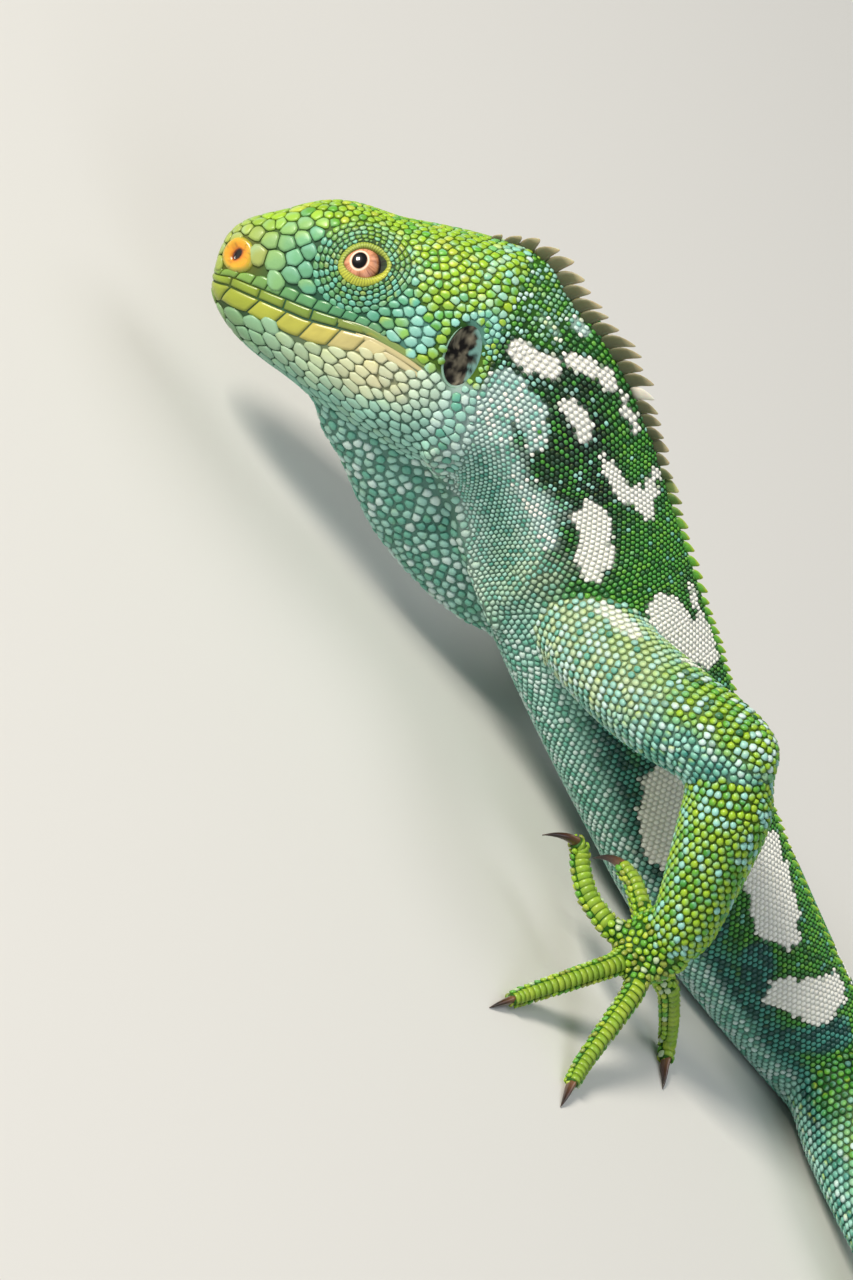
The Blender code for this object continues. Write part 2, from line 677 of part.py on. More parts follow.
def main():
    for thing in list(bpy.data.objects):
        bpy.data.objects.remove(thing)
    animal = bpy.data.objects.new("iguana", None)
    bpy.context.scene.collection.objects.link(animal)
    green = material("iguana_skin_green", SKIN_GREEN, 0.5)
    build_helpers(animal)
    build_head(animal)
    build_body(animal)
    build_pouch(animal)
    build_leg("foreleg_left", LEFT_FORELEG, LEFT_HAND, "hand_left", animal, green)
    build_leg("foreleg_right", RIGHT_FORELEG, RIGHT_HAND, "hand_right", animal, green)
    build_leg("hindleg_left", LEFT_HINDLEG, LEFT_FOOT, "foot_left", animal, green)
    build_leg("hindleg_right", RIGHT_HINDLEG, RIGHT_FOOT, "foot_right", animal, green)
    centre_over_origin(animal)


main()
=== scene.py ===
"""A Fiji crested iguana, life-size and still: skin, scales, eyes, crest and claws over its solids."""

import math

import bmesh
import bpy
import numpy as np
from mathutils import Matrix, Vector
from mathutils.bvhtree import BVHTree
from mathutils.kdtree import KDTree


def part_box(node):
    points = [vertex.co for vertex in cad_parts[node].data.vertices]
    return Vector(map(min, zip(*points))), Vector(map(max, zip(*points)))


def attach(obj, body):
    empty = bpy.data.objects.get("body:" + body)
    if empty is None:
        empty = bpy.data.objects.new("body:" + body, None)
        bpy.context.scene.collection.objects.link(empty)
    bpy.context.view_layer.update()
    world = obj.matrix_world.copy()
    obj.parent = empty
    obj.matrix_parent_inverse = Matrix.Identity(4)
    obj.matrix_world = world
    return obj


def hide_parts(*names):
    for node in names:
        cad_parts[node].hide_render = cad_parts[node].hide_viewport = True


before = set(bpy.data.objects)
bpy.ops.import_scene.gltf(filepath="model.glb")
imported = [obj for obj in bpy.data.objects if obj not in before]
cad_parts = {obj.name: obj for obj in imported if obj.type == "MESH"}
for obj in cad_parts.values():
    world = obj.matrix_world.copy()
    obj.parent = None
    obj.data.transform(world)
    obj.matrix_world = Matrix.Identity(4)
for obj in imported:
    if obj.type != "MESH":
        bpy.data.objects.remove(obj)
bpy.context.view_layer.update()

bl_info = {
    "name": "Fiji crested iguana",
    "version": (1, 0, 0),
    "blender": (4, 5, 0),
    "location": "3D View > Sidebar > Iguana",
    "description": "Builds a scaled reptile skin over a life-size iguana",
    "category": "Object",
}

MM = 0.001
SEED = 20

# The animal's own frame, in millimetres: X from head to tail, -Y its left side, Z up, the floor at Z = 0.
# The head's frame starts at the tip of the snout: X back, Y to the right, Z up.
SNOUT = np.array((-85.9, -6.5, 18.5))
HEAD_TURN = (2.8, -33.2, -15.3)  # yaw, pitch and roll in degrees
EYE_AT = (26.6, 7.2, 12.3)
EYE_RADIUS = 4.9
EAR_AT = (50.6, 14.2, 4.6)
NOSTRIL_AT = (3.7, 5.1, 6.4)

FLESH = (
    "head", "lower_jaw", "throat_pouch", "neck", "trunk_front", "trunk_rear",
    "tail_1", "tail_2", "tail_3", "tail_4", "tail_5",
    "foreleg_left_upper", "foreleg_left_lower", "hand_left",
    "foreleg_right_upper", "foreleg_right_lower", "hand_right",
    "hindleg_left_upper", "hindleg_left_lower", "foot_left",
    "hindleg_right_upper", "hindleg_right_lower", "foot_right",
)
HANDS = [FLESH.index(name) for name in ("hand_left", "hand_right", "foot_left", "foot_right")]
# Numbers in that list: the jaw ends the head, and the tail and the limbs begin where these say.
JAW, THROAT, NECK, TAIL, LIMBS = (FLESH.index(name) for name in (
    "lower_jaw", "throat_pouch", "neck", "tail_1", "foreleg_left_upper"))
BODY = (NECK, NECK + 1, NECK + 2)


# ---- frames and helpers


def turn_of(yaw, pitch, roll):
    """The rotation whose columns point back, right and up."""
    made = Matrix.Identity(3)
    for angle, axis in ((yaw, "Z"), (pitch, "Y"), (roll, "X")):
        made = made @ Matrix.Rotation(math.radians(angle), 3, axis)
    return np.array(made)


HEAD_AXES = turn_of(*HEAD_TURN)


def from_head(points):
    """Points of the head's frame, in the animal's."""
    return SNOUT + np.asarray(points, float) @ HEAD_AXES.T


def to_head(points):
    return (np.asarray(points, float) - SNOUT) @ HEAD_AXES


# How far the solids stand from the animal's own frame: read from where the left eye is.
EYE_BOX = np.array(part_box("eye_left"))
OFFSET = (EYE_BOX[0] + EYE_BOX[1]) / 2 / MM - from_head((EYE_AT[0], -EYE_AT[1], EYE_AT[2]))


def to_frame(points):
    return (np.asarray(points, float) + OFFSET) * MM


def unit(vectors):
    vectors = np.asarray(vectors, float)
    length = np.linalg.norm(vectors, axis=-1, keepdims=True)
    return vectors / np.maximum(length, 1e-12)


def norms(vectors):
    """The length of each vector."""
    return np.linalg.norm(vectors, axis=-1)


def flattened(along, out):
    """The ways turned into the surface that the ways out stand on."""
    return unit(along - out * (along * out).sum(1, keepdims=True))


def round_turn(count):
    return np.linspace(0, 2 * math.pi, count, endpoint=False)


def spokes_of(turn, first, second):
    """A spoke for each angle, from the first way round towards the second."""
    return np.cos(turn)[:, None] * first + np.sin(turn)[:, None] * second


def tree_of(places):
    """A search tree over the places."""
    tree = KDTree(max(1, len(places)))
    for index, place in enumerate(places):
        tree.insert(Vector(place), index)
    tree.balance()
    return tree


def smooth_line(points, step):
    """A Catmull-Rom line through the points, sampled about every step millimetres."""
    table = np.array(points, float)
    padded = np.vstack([2 * table[0] - table[1], table, 2 * table[-1] - table[-2]])
    fine = []
    for index in range(len(table) - 1):
        p0, p1, p2, p3 = padded[index : index + 4]
        for t in np.linspace(0, 1, 16, endpoint=False):
            square = (2 * p0 - 5 * p1 + 4 * p2 - p3) * t**2
            cube = (3 * p1 - p0 - 3 * p2 + p3) * t**3
            fine.append(0.5 * (2 * p1 + (p2 - p0) * t + square + cube))
    fine = np.array(fine + [table[-1]])
    along = np.concatenate([[0.0], np.cumsum(norms(np.diff(fine[:, :3], axis=0)))])
    count = max(2, int(round(along[-1] / step)) + 1)
    places = np.linspace(0, along[-1], count)
    return np.array([np.interp(places, along, column) for column in fine.T]).T


def noise_of(points, scale, seed=0):
    """Smooth value noise from -1 to 1 with the given grain in millimetres, the same on each run."""
    grid = np.asarray(points, float) / scale + 1000.0
    cell = np.floor(grid).astype(np.int64)
    share = grid - cell
    share = share * share * (3 - 2 * share)
    total = np.zeros(len(grid))
    for corner in range(8):
        bits = np.array([corner & 1, corner >> 1 & 1, corner >> 2 & 1])
        at = cell + bits
        mixed = at[:, 0] * 73856093 ^ at[:, 1] * 19349663 ^ at[:, 2] * 83492791 ^ (seed * 2654435761)
        mixed = (mixed ^ (mixed >> 13)) * 1274126177 & 0xFFFFFFFF
        value = ((mixed ^ (mixed >> 16)) & 0xFFFF) / 32767.5 - 1
        weight = np.prod(np.where(bits == 1, share, 1 - share), axis=1)
        total += value * weight
    return total


def srgb(text):
    """An sRGB hex colour as linear red, green and blue."""
    parts = [int(text[at : at + 2], 16) / 255 for at in (1, 3, 5)]
    return np.array([c / 12.92 if c <= 0.04045 else ((c + 0.055) / 1.055) ** 2.4 for c in parts])


def add_node(tree, kind, inputs=None, **settings):
    """Adds a node with its settings; an input is a value or another node's socket."""
    made = tree.nodes.new(kind)
    for name, value in settings.items():
        setattr(made, name, value)
    for socket, value in (inputs or {}).items():
        if isinstance(value, bpy.types.NodeSocket):
            tree.links.new(value, made.inputs[socket])
        else:
            made.inputs[socket].default_value = value
    return made


def mesh_of(name, points, faces):
    """A mesh in the frame's metres from points in millimetres and arrays of equal-sided faces."""
    mesh = bpy.data.meshes.new(name)
    points = to_frame(points).astype(np.float32)
    sides = np.concatenate([np.full(len(f), f.shape[1], np.int32) for f in faces])
    corners = np.concatenate([f.ravel() for f in faces]).astype(np.int32)
    starts = np.concatenate([[0], np.cumsum(sides)[:-1]]).astype(np.int32)
    mesh.vertices.add(len(points))
    mesh.vertices.foreach_set("co", points.ravel())
    mesh.loops.add(len(corners))
    mesh.loops.foreach_set("vertex_index", corners)
    mesh.polygons.add(len(sides))
    mesh.polygons.foreach_set("loop_start", starts)
    mesh.polygons.foreach_set("loop_total", sides)
    mesh.update(calc_edges=True)
    mesh.validate()
    mesh.shade_smooth()
    return mesh


def mesh_from(shape, name):
    """The shape of a bmesh that is done with, as a mesh."""
    mesh = bpy.data.meshes.new(name)
    shape.to_mesh(mesh)
    shape.free()
    return mesh


def linked(name, data):
    """An object of the scene that shows the data."""
    made = bpy.data.objects.new(name, data)
    bpy.context.scene.collection.objects.link(made)
    return made


def corner_points(mesh):
    """The number of the point at each corner of the mesh's faces."""
    corners = np.zeros(len(mesh.loops), np.int32)
    mesh.loops.foreach_get("vertex_index", corners)
    return corners


def coloured(mesh, colours):
    """Gives each point of the mesh its colour."""
    layer = mesh.color_attributes.get("coat") or mesh.color_attributes.new("coat", "FLOAT_COLOR", "POINT")
    rgba = np.ones((len(mesh.vertices), 4), np.float32)
    rgba[:, :3] = colours
    layer.data.foreach_set("color", rgba.ravel())


def put(name, mesh, look, colours, replaces=()):
    """A finished piece: its mesh with its colours, riding on the one body."""
    coloured(mesh, colours)
    mesh.materials.append(bpy.data.materials[look])
    made = linked(name, mesh)
    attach(made, "root")
    if replaces:
        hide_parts(*replaces)


# ---- the skin's form

EYE_OPENING = (27.1, 11.3, 14.6)  # middle of the opening between the lids
LID_LONG = (0.94, 0.0, 0.34)  # the opening's long axis, from its front corner to its rear one


def eye_frame(side):
    """Middle of an eyeball, its outward axis and the opening's long and short axes, in the head's frame."""
    middle = np.array((EYE_AT[0], side * EYE_AT[1], EYE_AT[2]))
    out = unit(np.array((EYE_OPENING[0], side * EYE_OPENING[1], EYE_OPENING[2])) - middle)
    long = np.array(LID_LONG)
    long = unit(long - out * (long @ out))
    short = np.cross(long, out) * side
    if short[2] < 0:
        short = -short
    return middle, out, long, short


def opening_reach(angle):
    """How far the opening reaches from its middle at an angle round it: an almond, wider above."""
    cosine, sine = np.cos(angle), np.sin(angle)
    half_long = np.where(cosine > 0, 4.05, 3.75)
    half_short = np.where(sine > 0, 2.95, 2.85)
    power = 1.75
    value = (np.abs(cosine) / half_long) ** power + (np.abs(sine) / half_short) ** power
    return value ** (-1 / power)


class Skin:
    """The points of the skin in the animal's frame, with quick ways to find places on it."""

    def __init__(self, points, faces):
        self.points = points
        self.faces = faces
        self.tree = BVHTree.FromPolygons([Vector(p) for p in points], faces.tolist())

    def nearest(self, places):
        """The nearest point of the skin to each place, and the way out of it."""
        found = np.zeros((len(places), 3))
        out = np.zeros((len(places), 3))
        for index, place in enumerate(places):
            location, normal, _, _ = self.tree.find_nearest(Vector(place))
            found[index], out[index] = location, normal
        return found, out

    def cast(self, starts, ways, reach=60.0):
        """Where rays leave the skin, with NaN where they don't; one start or one way may serve for all."""
        starts, ways = np.broadcast_arrays(np.atleast_2d(starts), np.atleast_2d(ways))
        found = np.full(starts.shape, np.nan)
        for index, (start, way) in enumerate(zip(starts, ways)):
            location = self.tree.ray_cast(Vector(start), Vector(way), reach)[0]
            if location is not None:
                found[index] = location
        return found


def flesh_trees():
    """One tree over the solids of the flesh, and which node each of its faces belongs to."""
    points, faces, owners = [], [], []
    for number, name in enumerate(FLESH):
        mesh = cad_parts[name].data
        mesh.calc_loop_triangles()
        start = len(points)
        points += [Vector(np.array(v.co) / MM - OFFSET) for v in mesh.vertices]
        faces += [[start + i for i in t.vertices] for t in mesh.loop_triangles]
        owners += [number] * len(mesh.loop_triangles)
    return BVHTree.FromPolygons(points, faces), np.array(owners)


def owners_at(points, flesh):
    """The number of the node that each point belongs to."""
    tree, owners = flesh
    return np.array([owners[tree.find_nearest(Vector(p))[2]] for p in points])


def swollen_flesh(swell):
    """The solids of the flesh, each welded and swollen a little so that neighbours meet, as one bmesh."""
    joined = bmesh.new()
    for name in FLESH:
        part = bmesh.new()
        part.from_mesh(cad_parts[name].data)
        bmesh.ops.transform(part, matrix=Matrix.Diagonal((1 / MM,) * 3).to_4x4(), verts=part.verts)
        bmesh.ops.translate(part, vec=-Vector(OFFSET), verts=part.verts)
        bmesh.ops.remove_doubles(part, verts=part.verts, dist=1e-4)
        bmesh.ops.recalc_face_normals(part, faces=part.faces)
        part.normal_update()
        for vert in part.verts:
            vert.co += vert.normal * swell
        held = mesh_from(part, "held")
        joined.from_mesh(held)
        bpy.data.meshes.remove(held)
    return joined


def add_ball(joined, middle, radius):
    """Adds a ball round a place of the head, for a swelling under the skin."""
    where = Matrix.Translation(Vector(from_head(middle)))
    bmesh.ops.create_uvsphere(joined, u_segments=32, v_segments=20, radius=radius, matrix=where)


def remeshed(joined, voxel):
    """Points and square faces of one even mesh round everything in the bmesh."""
    mesh = mesh_from(joined, "joined")
    thing = linked("joined", mesh)
    modifier = thing.modifiers.new("even", "REMESH")
    modifier.mode = "VOXEL"
    modifier.voxel_size = voxel
    graph = bpy.context.evaluated_depsgraph_get()
    even = thing.evaluated_get(graph).to_mesh()
    points = np.zeros(len(even.vertices) * 3, np.float32)
    even.vertices.foreach_get("co", points)
    faces = np.array([tuple(f.vertices) for f in even.polygons])
    thing.evaluated_get(graph).to_mesh_clear()
    bpy.data.objects.remove(thing)
    bpy.data.meshes.remove(mesh)
    return points.reshape(-1, 3).astype(float), faces


def edges_of(faces):
    pairs = np.concatenate([faces[:, [i, (i + 1) % faces.shape[1]]] for i in range(faces.shape[1])])
    return np.unique(np.sort(pairs, axis=1), axis=0)


def evened(points, edges, strength, rounds):
    """Moves each point towards the middle of its neighbours, by its own strength."""
    count = len(points)
    shares = np.bincount(edges.ravel(), minlength=count)[:, None]
    for _ in range(rounds):
        total = np.zeros_like(points)
        for axis in range(3):
            column = points[:, axis]
            total[:, axis] = np.bincount(edges[:, 0], column[edges[:, 1]], count)
            total[:, axis] += np.bincount(edges[:, 1], column[edges[:, 0]], count)
        points = points + (total / shares - points) * strength[:, None]
    return points


def ways_out(points, faces):
    """The outward way at each point of a mesh of square faces."""
    across = np.cross(points[faces[:, 2]] - points[faces[:, 0]], points[faces[:, 3]] - points[faces[:, 1]])
    total = np.zeros_like(points)
    for axis in range(3):
        for corner in range(4):
            total[:, axis] += np.bincount(faces[:, corner], across[:, axis], len(points))
    return unit(total)


def hill(distance, width):
    """A smooth hill that is 1 at a distance of 0 and fades over the width."""
    return np.exp(-((distance / width) ** 2))


def stretches(points, line):
    """Each stretch of a line: its ends, the share along it nearest to each point, and how far off that is."""
    rows = np.array(line, float)
    for start, end in zip(rows[:-1], rows[1:]):
        span = (end - start)[:3]
        share = np.clip((points - start[:3]) @ span / np.linalg.norm(span) ** 2, 0, 1)
        yield start, end, share, norms(points - start[:3] - share[:, None] * span)


def distance_to_line(points, line):
    """Distance of each point to a line given by its corners, and how far along the line that is."""
    best = np.full(len(points), np.inf)
    along = np.zeros(len(points))
    walked = 0.0
    for start, end, share, gap in stretches(points, line):
        length = np.linalg.norm(end - start)
        nearer = gap < best
        best[nearer] = gap[nearer]
        along[nearer] = walked + share[nearer] * length
        walked += length
    return best, along


GULAR_RIDGE = (
    (-35.9, -18, 36.3), (-28.6, -10.5, 31.8), (-23.2, -10.3, 30.2), (-17, -9.7, 27.4),
    (-10.7, -9, 24.7), (-4.6, -9.2, 22.4), (1.6, -10.2, 20.8),
)
SHOULDER_FOLD = (
    (-29.9, -17.2, 48.4), (-23.1, -16.1, 46.4), (-16.3, -15, 44.5), (-7.8, -14.4, 41.4),
    (-4.2, -14.3, 37.2), (-2.3, -13.9, 31.9), (-1.5, -12.2, 25.8),
)
BESIDE_FOLDS = ((-28, -14.5, 41), (-20, -13, 38), (-12, -12.5, 34), (-6, -12, 29))
EAR_HALF = (3.3, 6.1)
CREST_CLEAR = 3.4  # half width of the strip from which the solids' own spines are smoothed away


def mirrored(line, side):
    return [(x, side * -y, z) for x, y, z in line]


def from_nostril(head, side, ahead=0.0):
    """How far each place of the head is from a nostril, or from a place a little behind it."""
    return norms(head - (NOSTRIL_AT[0] + ahead, side * NOSTRIL_AT[1], NOSTRIL_AT[2]))


def from_ear(head, side):
    """How far each place of the head is from an ear's middle, where 1 is the ear's edge."""
    reach = np.hypot((head[:, 0] - EAR_AT[0]) / EAR_HALF[0], (head[:, 2] - EAR_AT[2]) / EAR_HALF[1])
    return np.where((np.sign(head[:, 1]) == side) & (np.abs(head[:, 1]) > 9), reach, 9.0)


def sculpted(points):
    """How far each point of the skin moves out for the folds, the nostrils and the ears."""
    rise = np.zeros(len(points))
    head = to_head(points)
    for side in (-1, 1):
        beside = np.sign(points[:, 1]) == side
        ridge, _ = distance_to_line(points, mirrored(GULAR_RIDGE, side))
        fold, _ = distance_to_line(points, mirrored(SHOULDER_FOLD, side))
        hollow, _ = distance_to_line(points, mirrored(BESIDE_FOLDS, side))
        change = 2.0 * hill(ridge, 1.7) + 0.9 * hill(fold, 1.7) - 1.1 * hill(hollow, 3.4)
        rise += np.where(beside, change, 0)
    top, along_top = distance_to_line(points, ridge_line())
    rise += 1.5 * hill(top, 2.6) * (1 - step_up(along_top, 80, 150)) * step_up(along_top, 4, 16)
    for side in (-1, 1):
        nostril = from_nostril(head, side)
        rise += 0.7 * hill(nostril, 2.8) - 1.4 * hill(nostril, 1.3)
        rise -= 1.5 * np.clip(1.15 - from_ear(head, side), 0, 0.4) / 0.4
    return rise


def ridge_line():
    """The ridge of the neck and back, from the nape to the root of the tail."""
    return ((-60, 1.8, 66.3), (-54.5, 1.6, 69.3), (-49, 0, 71.6), (-43.5, -2.4, 73.6), (-38, -3.8, 74.5),
            (-26, -2.6, 72.6), (-14, -1, 66.5), (-3, 0, 61), (22, 0, 51.2), (56, 0, 39.5), (93, 0, 29),
            (125, 0, 23))


class IGUANA_OT_skin(bpy.types.Operator):
    """Makes one skin round all the flesh, with its folds, and hides the solids that it stands for"""

    bl_idname = "iguana.skin"
    bl_label = "Skin"

    def execute(self, context):
        sizes = context.scene.iguana_sizes
        joined = swollen_flesh(0.25)
        for side in (-1, 1):
            add_ball(joined, eye_frame(side)[0], EYE_RADIUS + 0.75)
        points, faces = remeshed(joined, sizes.skin_grain / MM)
        edges = edges_of(faces)
        flesh = flesh_trees()
        owner = owners_at(points, flesh)
        strength = np.where(np.isin(owner, HANDS), 0.12, 0.5)
        strength = np.where(owner <= JAW, 0.22, strength)
        ridge, _ = distance_to_line(points, ridge_line())
        near = np.where(ridge < CREST_CLEAR + 3, 0.6, 0.0) * np.where(owner >= NECK, 1, 0)
        head = to_head(points)
        nape = step_up(head[:, 0], 43, 50) * (1 - step_up(head[:, 0], 66, 74)) * step_up(head[:, 2], 8, 13)
        points = evened(points, edges, near, 60)
        points = evened(points, edges, 0.6 * nape, 60)
        points = evened(points, edges, strength, 30)
        points = self.filled_out(points, faces, edges, flesh[0], np.isin(owner, HANDS))
        out = ways_out(points, faces)
        points = points + out * (sculpted(points) - sizes.coat_depth / MM)[:, None]
        points = evened(points, edges, np.full(len(points), 0.3), 3)
        points = self.opened(points)
        points[:, 2] = np.maximum(points[:, 2], 0.2)
        put("skin", mesh_of("skin", points, [faces]), "between the scales", 0.1, FLESH)
        return {"FINISHED"}

    def filled_out(self, points, faces, edges, tree, mine):
        """Brings what smoothing has thinned back out to the solids, as on the digits."""
        chosen = np.flatnonzero(mine)
        for _ in range(3):
            out = ways_out(points, faces)
            lack = np.zeros(len(points))
            for index in chosen:
                place, _, _, gap = tree.find_nearest(Vector(points[index]))
                under = (np.array(place) - points[index]) @ out[index] > 0
                lack[index] = min(gap, 0.9) if under else 0.0
            points = points + out * (0.9 * lack)[:, None]
            points = evened(points, edges, np.where(mine, 0.35, 0.0), 2)
        return points

    def opened(self, points):
        """The skin with its eye openings: what lies inside an opening goes in behind the eyeball."""
        head = to_head(points)
        for side in (-1, 1):
            middle, out, long, short = eye_frame(side)
            from_middle = head - middle
            depth = from_middle @ out
            x, y = from_middle @ long, from_middle @ short
            angle, reach = np.arctan2(y, x), np.hypot(x, y)
            edge = opening_reach(angle) + 0.65 * lid_width(angle)
            inside = (reach < edge) & (depth > 0) & (np.sign(head[:, 1]) == side)
            held = middle + unit(from_middle) * (EYE_RADIUS - 0.8)
            head = np.where(inside[:, None], held, head)
        return from_head(head)


# ---- where the scales sit

BODY_LINE = (
    (-50, -4.4, 45), (-39, -3.8, 49.5), (-26, -2.6, 49), (-14, -1, 45.2), (-3, 0, 41.3), (8, 0, 37.2),
    (22, 0, 32.6), (38, 0, 27.6), (56, 0, 22.4), (75, 0, 18.2), (93, 0, 15.4), (110, 0, 13.2), (125, 0, 11.6),
    (140, 0, 10.4),
)
TAIL_LENGTH = 442.0
TAIL_SWING = 15.0  # degrees to either side
LIMB_LINES = {
    "foreleg_left": (
        ((9, -7, 33), (16, -16, 36.5), (26, -26, 43), (35, -32, 49), (42.4, -34.5, 53.2)),
        ((42.4, -34.5, 53.2), (50, -37, 46.5), (55.5, -38.5, 39), (61, -40, 31), (65.4, -41, 24.5)),
    ),
    "foreleg_right": (
        ((9, 6, 32), (17, 15, 31), (26, 23, 28.5), (34, 29, 25.5)),
        ((34, 29, 25.5), (30, 34.5, 20.5), (24.5, 39.5, 14.5), (19, 43.5, 8.6)),
    ),
    "hindleg_left": (
        ((123, -6, 12.5), (132, -15, 13), (142, -26, 13.5), (151, -35, 13.2)),
        ((151, -35, 13.2), (158, -43, 11.6), (165, -52, 9), (171, -60, 6.6)),
    ),
    "hindleg_right": (
        ((123, 6, 12.5), (130, 16, 13.5), (136, 27, 14.5), (139, 38, 14.6)),
        ((139, 38, 14.6), (148, 43, 13), (157, 48, 9.8), (166, 53, 6.6)),
    ),
}
# Each digit from its knuckle to the base of its claw, and the claw's droop in degrees.
DIGITS = {
    "hand_left": (
        (((64, -38, 16), (60.6, -33.2, 16.4), (56.6, -27.6, 16.2), (53.6, -23.8, 14.6)), 40),
        (((63, -41, 14.5), (57, -41.6, 12.6), (50.4, -38.2, 11.6), (45.4, -34.6, 12.8),
          (43.2, -33.2, 14.6), (40.8, -34.4, 15.2)), 45),
        (((64, -42, 14), (61.4, -49.5, 12), (55.3, -60, 6.6), (51.3, -66.5, 2.4), (48.9, -71.2, 1.2)), 20),
        (((66.5, -42, 14), (68, -49.5, 12.2), (68.6, -59.6, 6.6), (68.7, -68.3, 2.4),
          (68.8, -74.1, 1.2)), 20),
        (((69, -40, 14), (76, -37.6, 12.2), (83.2, -34.6, 6.2), (87.2, -33.6, 2.4), (88.9, -37.4, 1.3)), 20),
    ),
    "hand_right": (
        (((15, 44, 4.6), (8.5, 40.5, 3), (3, 37.5, 1.4)), 25),
        (((11, 46, 4.2), (2, 44.8, 3.4), (-8, 44, 1.3)), 25),
        (((9, 48, 4.2), (-1, 51, 3.6), (-14, 54.5, 1.3)), 25),
        (((9, 50, 4.2), (0, 56.5, 3.6), (-12, 65, 1.3)), 25),
        (((12, 50.5, 4.2), (6.5, 58.5, 3.2), (2, 67.5, 1.4)), 25),
    ),
    "foot_left": (
        (((174, -64, 4.2), (182, -68.5, 3), (188, -73, 1.4)), 25),
        (((177, -70, 4), (187, -79, 3.2), (195, -87, 1.4)), 25),
        (((177.5, -73, 4), (186.5, -87, 3.4), (194, -102, 1.4)), 25),
        (((177, -74, 4), (182, -91, 3.6), (184.5, -109, 1.4)), 25),
        (((174, -71, 4), (169.5, -82.5, 3.2), (168.5, -95, 1.4)), 25),
    ),
    "foot_right": (
        (((160, 60, 4.4), (154, 56, 3), (149, 54.5, 1.4)), 25),
        (((158, 62, 4), (148, 64.5, 3.2), (139, 68, 1.4)), 25),
        (((157, 64, 4), (147, 71.5, 3.4), (136, 80, 1.4)), 25),
        (((157, 65.5, 4), (149, 78.5, 3.6), (140, 93.5, 1.4)), 25),
        (((160, 65, 4), (160, 76, 3.2), (158.5, 88, 1.4)), 25),
    ),
}


def line_height(x):
    """Height of the body's middle line."""
    return np.interp(x, [-40, -26, -3, 22, 56, 93, 140], [49, 49, 41, 32, 22, 15, 10])


def tail_line():
    """x, y, z and radius along the tail, which winds over the floor."""
    x, y = BODY_LINE[-1][:2]
    rows, count = [], 60
    for index in range(count + 1):
        share = index / count
        heading = math.radians(TAIL_SWING) * math.sin(2 * math.pi * share) * (0.4 + share)
        radius = 0.9 + 9.5 * (1 - share) ** 1.25
        rows.append((x, y, radius - min(0.4, radius / 3), radius))
        x += TAIL_LENGTH / count * math.cos(heading)
        y += TAIL_LENGTH / count * math.sin(heading)
    return rows


def evenly_round(steps, number):
    """Places evenly along a closed row of steps, staggered on odd rows: the step and the share of it."""
    walked = np.concatenate([[0.0], np.cumsum(steps)])
    count = max(4, int(round(walked[-1])))
    marks = (np.arange(count) + 0.5 * (number % 2)) * walked[-1] / count
    spots = np.clip(np.searchsorted(walked, marks, side="right") - 1, 0, len(steps) - 1)
    return spots, (marks - walked[spots]) / np.maximum(walked[spots + 1] - walked[spots], 1e-9)


def ring_seeds(skin, line, row_gap, side_gap, reach, rays):
    """Places in staggered rings round a line, each with the way along the line."""
    rows = smooth_line(line, row_gap)
    ways = unit(np.gradient(rows[:, :3], axis=0))
    up = np.array((0.0, 0.0, 1.0))
    turn = round_turn(rays)
    places, along = [], []
    for number, (row, way) in enumerate(zip(rows, ways)):
        up = unit(up - way * (up @ way))
        side = np.cross(way, up)
        hits = skin.cast(row[:3], spokes_of(turn, side, up), reach(row))
        ends = np.roll(hits, -1, axis=0)
        middles = (hits + ends) / 2
        good = np.isfinite(middles[:, 0])
        steps = np.where(good, norms(ends - hits), 0.0)
        steps = np.where(good, steps, np.nanmean(steps[good]) if good.any() else 1.0)
        gaps = side_gap(np.where(good[:, None], middles, row[None, :3]))
        spots, share = evenly_round(steps / gaps, number)
        found = hits[spots] + share[:, None] * (ends[spots] - hits[spots])
        found = found[good[spots]]
        places.append(found)
        along.append(np.repeat(way[None], len(found), 0))
    return np.concatenate(places), np.concatenate(along)


def neighbours(places, count):
    """The nearest other places to each place, nearest first."""
    tree = tree_of(places)
    found = np.zeros((len(places), count), int)
    for index, place in enumerate(places):
        near = [i for _, i, _ in tree.find_n(Vector(place), count + 1) if i != index][:count]
        found[index] = near + [near[-1]] * (count - len(near))
    return found


def thinned(places, size):
    """Which places stay when those too near an earlier one go."""
    tree = tree_of(places)
    kept = np.ones(len(places), bool)
    for index, place in enumerate(places):
        if kept[index]:
            for _, other, _ in tree.find_range(Vector(place), size[index]):
                if other > index:
                    kept[other] = False
    return kept


def gaps_filled(places, candidates, size):
    """Candidates that fill the bare patches between the places."""
    tree = tree_of(places)
    bare = [i for i, c in enumerate(candidates) if tree.find(Vector(c))[2] > 0.82 * size[i]]
    rng = np.random.default_rng(SEED)
    bare = rng.permutation(bare).astype(int)
    kept = thinned(candidates[bare], 0.86 * size[bare]) if len(bare) else np.zeros(0, bool)
    return bare[kept]


def spread(skin, places, along, long, wide, rounds, fixed):
    """Pushes crowded places apart over the skin until their spacing is even."""
    for _ in range(rounds):
        near = neighbours(places, 6)
        gap = places[near] - places[:, None]
        distance = norms(gap)
        way = gap / np.maximum(distance, 1e-6)[..., None]
        lengthwise = np.abs((way * along[:, None]).sum(2))
        mean_long = (long[:, None] + long[near]) / 2
        mean_wide = (wide[:, None] + wide[near]) / 2
        wanted = mean_wide + (mean_long - mean_wide) * lengthwise
        push = np.clip(distance - wanted, -0.5 * wanted, 0)
        move = (way * push[..., None]).sum(1) * 0.3
        places = np.where(fixed[:, None], places, places + move)
        places, out = skin.nearest(places)
    return places, out


# ---- the head's scales

